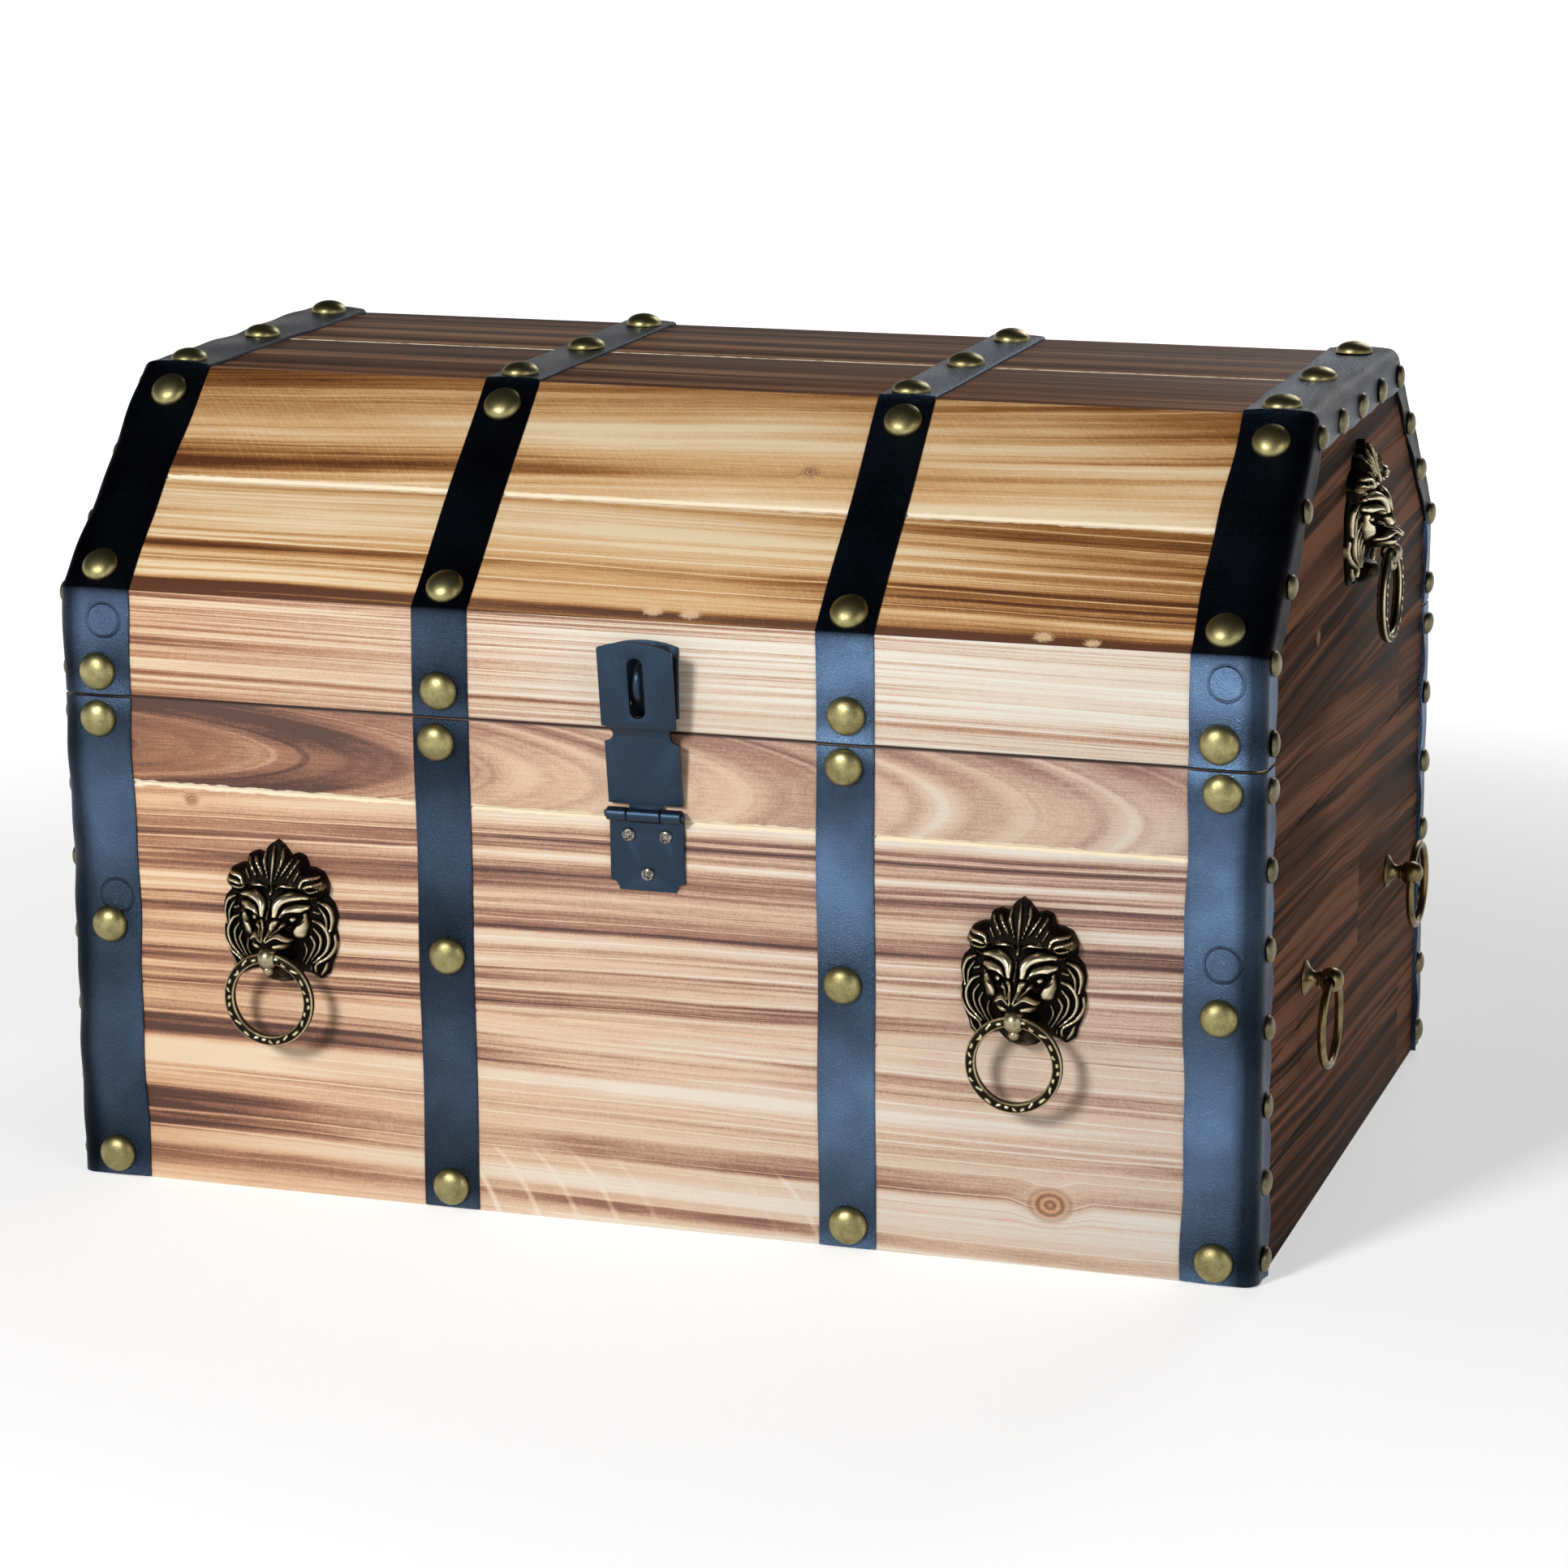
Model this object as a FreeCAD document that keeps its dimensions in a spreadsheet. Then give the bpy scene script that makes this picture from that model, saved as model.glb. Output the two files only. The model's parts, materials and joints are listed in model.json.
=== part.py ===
import FreeCAD, Part
import math
import os
import Sketcher
from FreeCAD import Placement, Rotation, Vector

# Treasure chest of torched pine boards with a hipped lid, vinyl straps, dome nails, a hasp and
# staple, lion mask ring pulls and plain ring pulls. Millimetres, +Z up, the front towards -Y,
# the origin on the floor under the middle of the base.

SIZES = {
    # Boxes and boards
    "chest_length": 435.0,
    "chest_depth": 296.0,
    "upper_board_wide": 31.5,
    "rail_height": 38.5,
    "lid_rise": 68.0,
    "top_width": 146.0,
    "board_thick": 10.0,
    "board_wide": 74.0,
    "floor_thick": 8.0,
    "joint_ease": 0.8,
    # Straps
    "strap_thick": 1.0,
    "strap_bend": 0.9,
    "strap_gap": 0.6,
    "mid_strap_wide": 20.5,
    "mid_strap_place": 73.5,
    "end_strap_wide": 26.5,
    "flange_wide": 14.0,
    # Dome nails and flange tacks
    "dome_share": 0.5,
    "nail_radius": 6.75,
    "nail_rise": 4.5,
    "nail_sides": 8,
    "nail_shank": 1.2,
    "nail_length": 8.0,
    "nail_edge": 8.5,
    "nail_foot_edge": 9.5,
    "nail_top_edge": 9.5,
    "nail_slope_edge": 12.0,
    "end_nail_inset": 15.0,
    "tack_radius": 4.5,
    "tack_rise": 2.0,
    "tack_sides": 6,
    "tack_shank": 0.9,
    "tack_length": 7.0,
    "tack_margin": 2.0,
    "tack_count": 7,
    # Screws that hold the hasp and the hinges
    "screw_radius": 2.4,
    "screw_rise": 1.1,
    "screw_sides": 8,
    "screw_shank": 1.3,
    "screw_length": 7.0,
    "screw_room": 0.3,
    "cut_over": 2.0,
    # Hasp and staple
    "hasp_place": 2.3,
    "hasp_wide": 27.0,
    "plate_thick": 1.2,
    "hasp_under": 27.5,
    "hasp_notch": 3.2,
    "hasp_screw_apart": 13.5,
    "hasp_screw_edge": 4.8,
    "hasp_screw_foot": 6.0,
    "pin_over_joint": 2.5,
    "knuckle_radius": 3.0,
    "knuckle_room": 0.4,
    "knuckle_gap": 0.3,
    "knuckle_wide": 12.0,
    "knuckle_sides": 12,
    "pin_radius": 1.3,
    "pin_room": 0.05,
    "pin_over": 1.0,
    "bore_sides": 16,
    "leaf_reach": 60.5,
    "leaf_crown": 2.5,
    "leaf_waist": 29.0,
    "leaf_room": 0.5,
    "leaf_joggle": 2.2,
    "joggle_height": 28.5,
    "slot_edge": 3.0,
    "slot_tall": 22.0,
    "slot_wide": 5.6,
    "leaf_ajar_degrees": 8.0,
    "staple_plate_under": 13.0,
    "staple_plate_over": 14.0,
    "staple_plate_wide": 24.0,
    "staple_plate_crown": 2.0,
    "staple_plate_thick": 1.0,
    "staple_lift": 0.5,
    "staple_half": 7.5,
    "staple_wire": 2.6,
    "staple_out": 10.6,
    "staple_leg": 8.0,
    "staple_screw_edge": 4.8,
    # Lion mask ring pulls
    "lion_inward": 1.375,
    "lion_height": 91.0,
    "lid_crest_gap": 6.5,
    "lion_wide": 43.0,
    "lion_over": 40.5,
    "lion_under": 12.0,
    "lion_locks": 13,
    "lion_sides": 10,
    "ear_sides": 6,
    "mouth_out": 13.0,
    "snout_over": 4.5,
    "mouth_radius": 4.4,
    "mouth_half": 3.6,
    "ring_room": 0.8,
    "lion_ring_radius": 15.2,
    "lion_ring_tube": 1.8,
    "ring_steps": 16,
    "ring_sides": 6,
    "eye_sides": 8,
    "lion_screw_radius": 2.0,
    "lion_screw_head": 4.0,
    "lion_screw_sink": 2.0,
    "lion_screw_above": 12.0,
    "lion_screw_bite": 4.0,
    # Plain ring pulls on the ends
    "post_place": 75.0,
    "post_height": 89.0,
    "post_flare": 5.8,
    "post_rim": 0.8,
    "post_neck": 2.3,
    "post_ball": 4.6,
    "post_out": 9.5,
    "post_sides": 8,
    "post_shank": 1.5,
    "post_bite": 8.0,
    "pull_aside_degrees": 60.0,
    "pull_ring_radius": 15.2,
    "pull_ring_tube": 1.5,
    # Butt hinges at the back
    "hinge_inward": 4.875,
    "hinge_wide": 38.0,
    "hinge_leaf": 24.0,
    "hinge_screw_apart": 19.0,
    "hinge_screw_away": 14.4,
}


class Size:
    """A number together with the sheet formula that gives it."""

    def __init__(self, number, formula):
        self.number = number
        self.formula = formula

    def __add__(self, other):
        other = as_size(other)
        return Size(self.number + other.number, f"({self.formula} + {other.formula})")

    def __radd__(self, other):
        return as_size(other) + self

    def __sub__(self, other):
        other = as_size(other)
        return Size(self.number - other.number, f"({self.formula} - {other.formula})")

    def __rsub__(self, other):
        return as_size(other) - self

    def __mul__(self, other):
        other = as_size(other)
        return Size(self.number * other.number, f"({self.formula} * {other.formula})")

    def __rmul__(self, other):
        return as_size(other) * self

    def __truediv__(self, other):
        other = as_size(other)
        return Size(self.number / other.number, f"({self.formula} / {other.formula})")

    def __neg__(self):
        return Size(-self.number, f"(0 - {self.formula})")


def as_size(value):
    if isinstance(value, Size):
        return value
    return Size(float(value), f"({float(value)})")


def square_root(value):
    return Size(math.sqrt(value.number), f"sqrt({value.formula})")


doc = FreeCAD.newDocument("treasure_chest")
sheet = doc.addObject("Spreadsheet::Sheet", "Sizes")
for row, (alias, value) in enumerate(SIZES.items(), start=1):
    sheet.set(f"A{row}", alias)
    sheet.set(f"B{row}", str(value))
    sheet.setAlias(f"B{row}", alias)
doc.recompute()

nodes = []


def size(alias):
    return Size(float(sheet.get(alias)), f"Sizes.{alias}")


def count(alias):
    return int(round(sheet.get(alias)))


def node(item, label):
    item.Label = label
    nodes.append(item)
    return item


def bind(item, **sizes):
    for name, value in sizes.items():
        item.setExpression(name, as_size(value).formula)
    return item


def place(item, x=0, y=0, z=0, turn=None):
    where = [as_size(value) for value in (x, y, z)]
    item.Placement = Placement(Vector(*(value.number for value in where)), turn or Rotation())
    for axis, value in zip("xyz", where):
        item.setExpression(f"Placement.Base.{axis}", value.formula)
    return item


# Building blocks


def new_body(name):
    return doc.addObject("PartDesign::Body", name)


def closed_sketch(body, role, corners):
    """A closed outline on one of the body's own planes, each corner held by two bound distances."""
    sketch = body.newObject("Sketcher::SketchObject", body.Name + "_outline")
    plane = next(item for item in body.Origin.OriginFeatures if item.Role == role)
    sketch.AttachmentSupport = [(plane, "")]
    sketch.MapMode = "FlatFace"
    corners = [(as_size(across), as_size(up)) for across, up in corners]
    points = [Vector(across.number, up.number, 0) for across, up in corners]
    for start, end in zip(points, points[1:] + points[:1]):
        sketch.addGeometry(Part.LineSegment(start, end))
    for index in range(len(points)):
        following = (index + 1) % len(points)
        sketch.addConstraint(Sketcher.Constraint("Coincident", index, 2, following, 1))
    for index, (across, up) in enumerate(corners):
        for kind, tag, distance in (("DistanceX", "across", across), ("DistanceY", "up", up)):
            held = Sketcher.Constraint(kind, -1, 1, index, 1, distance.number)
            sketch.renameConstraint(sketch.addConstraint(held), f"{tag}{index}")
            sketch.setExpression(f"Constraints.{tag}{index}", distance.formula)
    return sketch


def pad(body, sketch, length, side="One side", reverse=False):
    feature = body.newObject("PartDesign::Pad", body.Name + "_pad")
    feature.Profile = sketch
    feature.SideType = side
    feature.Reversed = reverse
    return bind(feature, Length=length)


def box(name, length, width, height, x=0, y=0, z=0):
    item = bind(doc.addObject("Part::Box", name), Length=length, Width=width, Height=height)
    return place(item, x, y, z)


def rod(name, radius, length, x=0, y=0, z=0, turn=None):
    item = bind(doc.addObject("Part::Cylinder", name), Radius=radius, Height=length)
    return place(item, x, y, z, turn)


def fuse(name, pieces):
    item = doc.addObject("Part::MultiFuse", name)
    item.Shapes = pieces
    return item


def cut(name, base, tool):
    item = doc.addObject("Part::Cut", name)
    item.Base = base
    item.Tool = tool
    return item


def group(name, pieces):
    item = doc.addObject("Part::Compound", name)
    item.Links = pieces
    return item


def mirrored(name, source):
    item = doc.addObject("Part::Mirroring", name)
    item.Source = source
    item.Normal = Vector(1, 0, 0)
    return item


ALONG_X = Rotation(Vector(0, 1, 0), 90)
OUT_FRONT = Rotation(Vector(1, 0, 0), 90)
HALF_TURN = Rotation(Vector(0, 0, 1), 180)
SHANK_SIDES = 3

length = size("chest_length")
half_length = length / 2
half_depth = size("chest_depth") / 2
base_height = size("board_wide") * 2 + size("upper_board_wide")
thick = size("board_thick")
ease = size("joint_ease")
shoulder = base_height + size("rail_height")
crown = shoulder + size("lid_rise")
half_top = size("top_width") / 2
strap = size("strap_thick")

# Middle of the bare boards between an end strap and its neighbour
strap_inner_edge = half_length + strap - size("end_strap_wide")
panel_middle = (strap_inner_edge + size("mid_strap_place") + size("mid_strap_wide") / 2) / 2

# Slope of the lid: its run and rise as parts of its own length
slope_run = half_depth - half_top
slope_length = square_root(slope_run * slope_run + size("lid_rise") * size("lid_rise"))
slope_level = slope_run / slope_length
slope_steep = size("lid_rise") / slope_length


def lid_corner(which, side, inward):
    """A corner of the lid's outline, moved inward by a wall: foot, shoulder or brow of one side."""
    if which == "foot":
        return side * (half_depth - inward), base_height
    if which == "shoulder":
        return side * (half_depth - inward), shoulder - inward * slope_level / (1 + slope_steep)
    return side * (half_top - inward * slope_steep / (1 + slope_level)), crown - inward


# Boards


def long_board(label, corners):
    body = new_body(label)
    pad(body, closed_sketch(body, "YZ_Plane", corners), length, "Symmetric")
    return node(body, label)


def wall_section(side, low, high, ease_low, ease_high):
    """Section of an upright board, its outer edges eased where it meets another board."""
    outer = side * half_depth
    inner = side * (half_depth - thick)
    eased = side * (half_depth - ease)
    corners = [(inner, low)]
    corners += [(eased, low), (outer, low + ease)] if ease_low else [(outer, low)]
    corners += [(outer, high - ease), (eased, high)] if ease_high else [(outer, high)]
    return corners + [(inner, high)]


def base_boards():
    wide = size("board_wide")
    for side, face in ((-1, "front"), (1, "back")):
        long_board(f"base_{face}_board_lower", wall_section(side, as_size(0), wide, False, True))
        long_board(f"base_{face}_board_middle", wall_section(side, wide, wide * 2, True, True))
        long_board(f"base_{face}_board_upper", wall_section(side, wide * 2, base_height, True, False))


def base_ends():
    wide = size("board_wide")
    for side, hand in ((-1, "left"), (1, "right")):
        label = f"base_{hand}_end"
        body = new_body(label)
        corners = [(0, 0), (thick, 0)]
        for joint in (wide, wide * 2):
            corners += [(thick, joint - ease), (thick - ease, joint), (thick, joint + ease)]
        corners += [(thick, base_height), (0, base_height)]
        sketch = closed_sketch(body, "XZ_Plane", corners)
        pad(body, sketch, (half_depth - thick) * 2, "Symmetric")
        place(body, x=side * (half_length - thick), turn=HALF_TURN if side < 0 else None)
        node(body, label)


def base_floor():
    inside_length = length - thick * 2
    inside_depth = (half_depth - thick) * 2
    panel = box("floor_panel", inside_length, inside_depth, size("floor_thick"),
                x=-inside_length / 2, y=-inside_depth / 2)
    node(panel, "base_bottom_panel")


def lid_boards():
    for side, face in ((-1, "front"), (1, "back")):
        foot, foot_in = lid_corner("foot", side, 0), lid_corner("foot", side, thick)
        knee, knee_in = lid_corner("shoulder", side, 0), lid_corner("shoulder", side, thick)
        brow, brow_in = lid_corner("brow", side, 0), lid_corner("brow", side, thick)
        middle = ((knee[0] + brow[0]) / 2, (knee[1] + brow[1]) / 2)
        inward = (-side * slope_steep, -slope_level)
        upward = (-side * slope_level, slope_steep)
        middle_in = (middle[0] + inward[0] * thick, middle[1] + inward[1] * thick)
        eased = (middle[0] + inward[0] * ease, middle[1] + inward[1] * ease)
        above = (middle[0] + upward[0] * ease, middle[1] + upward[1] * ease)
        below = (middle[0] - upward[0] * ease, middle[1] - upward[1] * ease)
        long_board(f"lid_{face}_rail", [foot, knee, knee_in, foot_in])
        long_board(f"lid_{face}_slope_lower", [knee, below, eased, middle_in, knee_in])
        long_board(f"lid_{face}_slope_upper", [above, brow, brow_in, middle_in, eased])
        ridge = [(side * ease, crown), (0, crown - ease), (0, crown - thick)]
        long_board(f"lid_top_{face}_board", [brow] + ridge + [brow_in])


def lid_ends():
    joint = base_height + size("board_wide")
    half = [lid_corner(which, -1, thick) for which in ("foot", "shoulder", "brow")]
    other = [lid_corner(which, 1, thick) for which in ("brow", "shoulder", "foot")]
    for side, hand in ((-1, "left"), (1, "right")):
        label = f"lid_{hand}_end"
        body = new_body(label)
        pad(body, closed_sketch(body, "YZ_Plane", half + other), thick)
        groove = [(thick, joint - ease), (thick, joint + ease), (thick - ease, joint)]
        pocket = body.newObject("PartDesign::Pocket", label + "_joint")
        pocket.Profile = closed_sketch(body, "XZ_Plane", groove)
        pocket.SideType = "Symmetric"
        pocket.Type = "ThroughAll"
        place(body, x=side * (half_length - thick), turn=HALF_TURN if side < 0 else None)
        node(body, label)


# Straps


def edges_along(shape, points):
    """Names of the shape's edges that pass through the given points."""
    names = []
    for point in points:
        vertex = Part.Vertex(point)
        found = min(range(len(shape.Edges)), key=lambda k: shape.Edges[k].distToShape(vertex)[0])
        names.append(f"Edge{found + 1}")
    return names


def rounded(body, feature, points):
    doc.recompute()
    fillet = body.newObject("PartDesign::Fillet", body.Name + "_bend")
    fillet.Base = (feature, edges_along(feature.Shape, points))
    bind(fillet, Radius=size("strap_bend"))


def base_corner_straps():
    flange = size("flange_wide")
    wide = size("end_strap_wide")
    gap = size("strap_gap")
    tall = base_height - gap * 2
    for depth_side, face in ((-1, "front"), (1, "back")):
        for side, hand in ((-1, "left"), (1, "right")):
            label = f"base_{face}_{hand}_strap"
            body = new_body(label)
            corner = (side * (half_length + strap), depth_side * (half_depth + strap))
            wood = (side * half_length, depth_side * half_depth)
            outline = [
                corner,
                (corner[0] - side * wide, corner[1]),
                (corner[0] - side * wide, wood[1]),
                wood,
                (wood[0], corner[1] - depth_side * flange),
                (corner[0], corner[1] - depth_side * flange),
            ]
            feature = pad(body, closed_sketch(body, "XY_Plane", outline), tall)
            rounded(body, feature, [Vector(corner[0].number, corner[1].number, tall.number / 2)])
            node(place(body, z=gap), label)


def base_mid_straps():
    wide = size("mid_strap_wide")
    gap = size("strap_gap")
    left = size("mid_strap_place") - wide / 2
    for face, near in (("front", -half_depth - strap), ("back", half_depth)):
        right = box(f"{face}_strap", wide, strap, base_height - gap * 2, left, near, gap)
        pair = group(f"{face}_straps", [right, mirrored(f"{face}_strap_left", right)])
        node(pair, f"base_{face}_mid_straps")


def lid_band(outer, inner):
    """A band over the lid between two outlines, from foot to foot, its feet above the parting line."""
    lift = size("strap_gap")
    trail = []
    for inward in (outer, inner):
        rise = [lid_corner(which, -1, inward) for which in ("foot", "shoulder", "brow")]
        fall = [lid_corner(which, 1, inward) for which in ("brow", "shoulder", "foot")]
        rise[0] = (rise[0][0], rise[0][1] + lift)
        fall[-1] = (fall[-1][0], fall[-1][1] + lift)
        trail.append(rise + fall)
    return trail[0] + trail[1][::-1]


def lid_straps():
    bare = as_size(0)
    body = new_body("lid_mid_strap")
    wide = size("mid_strap_wide")
    pad(body, closed_sketch(body, "YZ_Plane", lid_band(-strap, bare)), wide, "Symmetric")
    place(body, x=size("mid_strap_place"))
    node(group("lid_straps", [body, mirrored("lid_strap_left", body)]), "lid_mid_straps")
    for side, hand in ((-1, "left"), (1, "right")):
        label = f"lid_{hand}_end_strap"
        body = new_body(label)
        pad(body, closed_sketch(body, "YZ_Plane", lid_band(-strap, bare)), size("end_strap_wide"),
            reverse=True)
        flange = lid_band(-strap, size("flange_wide") - strap)
        feature = pad(body, closed_sketch(body, "YZ_Plane", flange), strap, reverse=True)
        outline = [lid_corner(which, -1, -strap) for which in ("foot", "shoulder", "brow")]
        outline += [lid_corner(which, 1, -strap) for which in ("brow", "shoulder", "foot")]
        bends = []
        for start, end in zip(outline, outline[1:]):
            bends.append(Vector(0, (start[0] + end[0]).number / 2, (start[1] + end[1]).number / 2))
        rounded(body, feature, bends)
        place(body, x=side * (half_length + strap), turn=HALF_TURN if side < 0 else None)
        node(body, label)


# Nails, tacks and screws


def faceted(loops):
    """A closed solid from flat faces, each a loop of points."""
    faces = [Part.Face(Part.makePolygon(list(loop) + [loop[0]])) for loop in loops]
    solid = Part.Solid(Part.Shell(faces))
    if solid.Volume < 0:
        solid.reverse()
    return solid


def stacked(rings):
    """A solid through rings of as many points each, closed by the first ring and the last."""
    loops = [rings[0][::-1], rings[-1]]
    for lower, upper in zip(rings, rings[1:]):
        for index in range(len(lower)):
            loops.append([lower[index - 1], lower[index], upper[index], upper[index - 1]])
    return faceted(loops)


def turned(profile, sides):
    """A flat sided turning along +Z from (height, radius) pairs."""
    rings = []
    for height, radius in profile:
        angles = [2 * math.pi * (side + 0.5) / sides for side in range(sides)]
        rings.append([Vector(radius * math.cos(turn), radius * math.sin(turn), height) for turn in angles])
    return stacked(rings)


def shaped(label, solids):
    """An object whose shape is one solid, or a group of separate ones."""
    item = doc.addObject("Part::Feature", label)
    item.Shape = solids[0] if len(solids) == 1 else Part.Compound(solids)
    return item


def dome_fastener(radius, rise, sides, shank, shank_length):
    """A flat sided dome on a flat sided shank, its rim at the origin and its dome towards +Z."""
    head = turned([(0, radius), (rise, radius * size("dome_share").number)], sides)
    return head.fuse(turned([(-shank_length, shank), (0, shank)], SHANK_SIDES)).removeSplitter()


def driven(label, pattern, seats):
    """Copies of one fastener, each seated at a point with its dome along the given direction."""
    copies = []
    for point, outward in seats:
        copy = pattern.copy()
        copy.Placement = Placement(point, Rotation(Vector(0, 0, 1), outward))
        copies.append(copy)
    return node(shaped(label, copies), label)


def fastener(kind):
    """The nail, tack or screw of the sheet's sizes that start with this word."""
    radius, rise, shank, shank_length = (
        size(f"{kind}_{part}").number for part in ("radius", "rise", "shank", "length"))
    return dome_fastener(radius, rise, count(f"{kind}_sides"), shank, shank_length)


def nail_columns():
    mid = size("mid_strap_place").number
    end = half_length.number + strap.number - size("end_nail_inset").number
    return (-end, -mid, mid, end)


def nails():
    pattern = fastener("nail")
    edge = size("nail_edge").number
    face = half_depth.number + strap.number
    parting = base_height.number
    foot = parting + size("nail_foot_edge").number
    base_levels = (edge, (parting + edge) / 2, parting - edge)
    base_seats = []
    lid_seats = []
    run = slope_level.number
    climb = slope_steep.number
    for x in nail_columns():
        for side in (-1, 1):
            outward = Vector(0, side, 0)
            base_seats += [(Vector(x, side * face, z), outward) for z in base_levels]
            lid_seats.append((Vector(x, side * face, foot), outward))
            slope_out = Vector(0, side * climb, run)
            far = slope_length.number - size("nail_slope_edge").number
            for along in (edge, far):
                y = side * (half_depth.number - along * run)
                on_wood = Vector(x, y, shoulder.number + along * climb)
                lid_seats.append((on_wood + slope_out * strap.number, slope_out))
        brow = half_top.number - size("nail_top_edge").number
        for y in (-brow, 0, brow):
            lid_seats.append((Vector(x, y, crown.number + strap.number), Vector(0, 0, 1)))
    driven("base_dome_nails", pattern, base_seats)
    driven("lid_dome_nails", pattern, lid_seats)


def between(start, end, share):
    return start + (end - start) * share


def tacks():
    pattern = fastener("tack")
    face = half_length.number + strap.number
    inset = thick - size("tack_margin")
    low = inset.number
    high = base_height.number - inset.number
    steps = count("tack_count")
    base_seats = []
    lid_seats = []
    path = [lid_corner(which, -1, inset) for which in ("foot", "shoulder", "brow")]
    path += [lid_corner(which, 1, inset) for which in ("brow", "shoulder", "foot")]
    path = [Vector(0, y.number, z.number) for y, z in path]
    path[0].z += inset.number
    path[-1].z += inset.number
    shares = ((0,), (0, 1 / 3, 2 / 3), (0, 1 / 4, 1 / 2, 3 / 4), (0, 1 / 3, 2 / 3), (0, 1))
    for side in (-1, 1):
        outward = Vector(side, 0, 0)
        for depth_side in (-1, 1):
            y = depth_side * (half_depth.number - inset.number)
            for step in range(steps):
                z = between(low, high, step / (steps - 1))
                base_seats.append((Vector(side * face, y, z), outward))
        for start, end, stops in zip(path, path[1:], shares):
            for stop in stops:
                lid_seats.append((between(start, end, stop) + outward * face, outward))
    driven("base_flange_tacks", pattern, base_seats)
    driven("lid_flange_tacks", pattern, lid_seats)


# Hasp and staple, the swinging leaf drawn about the axis of its pin

hasp_x = size("hasp_place")
hasp_wide = size("hasp_wide")
pin_height = size("board_wide") * 2 + size("pin_over_joint")
hasp_low = pin_height - size("hasp_under")
plate = size("plate_thick")
knuckle = size("knuckle_radius")
pin_out = knuckle + size("knuckle_room")
bore = (size("pin_radius") + size("pin_room")) / math.cos(math.pi / count("bore_sides"))
screw_hole = size("screw_shank") + size("screw_room")
slot_middle = size("leaf_reach") - size("slot_edge") - size("slot_tall") / 2
staple_middle = pin_height + slot_middle + size("staple_lift")
staple_plate_low = staple_middle - size("staple_plate_under")
staple_plate_high = staple_middle + size("staple_plate_over")
over = size("cut_over")


def prism(name, radius, length, sides, x=0, y=0, z=0, turn=None):
    """A flat sided rod, its corners at the given radius."""
    item = bind(doc.addObject("Part::Prism", name), Circumradius=radius, Height=length)
    item.Polygon = sides
    return place(item, x, y, z, turn)


def drill(name, radius, x, z, face, deep):
    """A round cutter along Y through a plate between face and face + deep."""
    return rod(name, radius, deep + over * 2, x, face + deep + over, z, OUT_FRONT)


def plate_holes(name, places, face, deep):
    """Flat sided holes along Y through a plate between face and face + deep, at (x, z) places."""
    sides = count("screw_sides")
    start = face + deep + over
    return [
        prism(f"{name}_hole", screw_hole, deep + over * 2, sides, x, start, z, OUT_FRONT)
        for x, z in places
    ]


def barrel(name, wide, x=0, y=0, z=0):
    """A flat sided hinge knuckle along X from x on."""
    return prism(name, knuckle, wide, count("knuckle_sides"), x, y, z, ALONG_X)


def pin_bore(name, wide, x=0, y=0, z=0):
    """The cutter of a pin's bore along X, past both ends of knuckles of this width from x on."""
    return prism(name, bore, wide + over * 2, count("bore_sides"), x - over, y, z, ALONG_X)


def hasp_screw_places():
    reach = size("hasp_screw_apart") / 2
    upper = pin_height - knuckle - size("hasp_screw_edge")
    return [
        (hasp_x - reach, upper),
        (hasp_x + reach, upper),
        (hasp_x, hasp_low + size("hasp_screw_foot")),
    ]


def hasp_lower_leaf():
    face = -half_depth - plate
    axis_y = -half_depth - pin_out
    left = hasp_x - hasp_wide / 2
    web_low = pin_height - knuckle - size("knuckle_gap")
    side_wide = (hasp_wide - size("knuckle_wide")) / 2 - size("knuckle_gap")
    solids = [box("lower_plate", hasp_wide, plate, web_low - hasp_low, left, face, hasp_low)]
    for x in (left, left + hasp_wide - side_wide):
        solids.append(barrel("lower_knuckle", side_wide, x, axis_y, pin_height))
        solids.append(box("lower_web", side_wide, plate, pin_height - web_low, x, face, web_low))
    tools = [pin_bore("lower_bore", hasp_wide, left, axis_y, pin_height)]
    for x in (left, left + hasp_wide):
        tools.append(drill("lower_notch", size("hasp_notch"), x, hasp_low, face, plate))
    tools += plate_holes("lower", hasp_screw_places(), face, plate)
    leaf = cut("lower_leaf", fuse("lower_solid", solids), fuse("lower_tools", tools))
    node(leaf, "hasp_lower_leaf")


def hinge_rod(name, wide, x, y, z):
    """A hinge pin through knuckles of this width from x on, a little longer at both ends."""
    beyond = size("pin_over")
    return rod(name, size("pin_radius"), wide + beyond * 2, x - beyond, y, z, ALONG_X)


def hasp_pin():
    pin = hinge_rod("hasp_rod", hasp_wide, hasp_x - hasp_wide / 2, -half_depth - pin_out, pin_height)
    node(pin, "hasp_pin")


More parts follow.
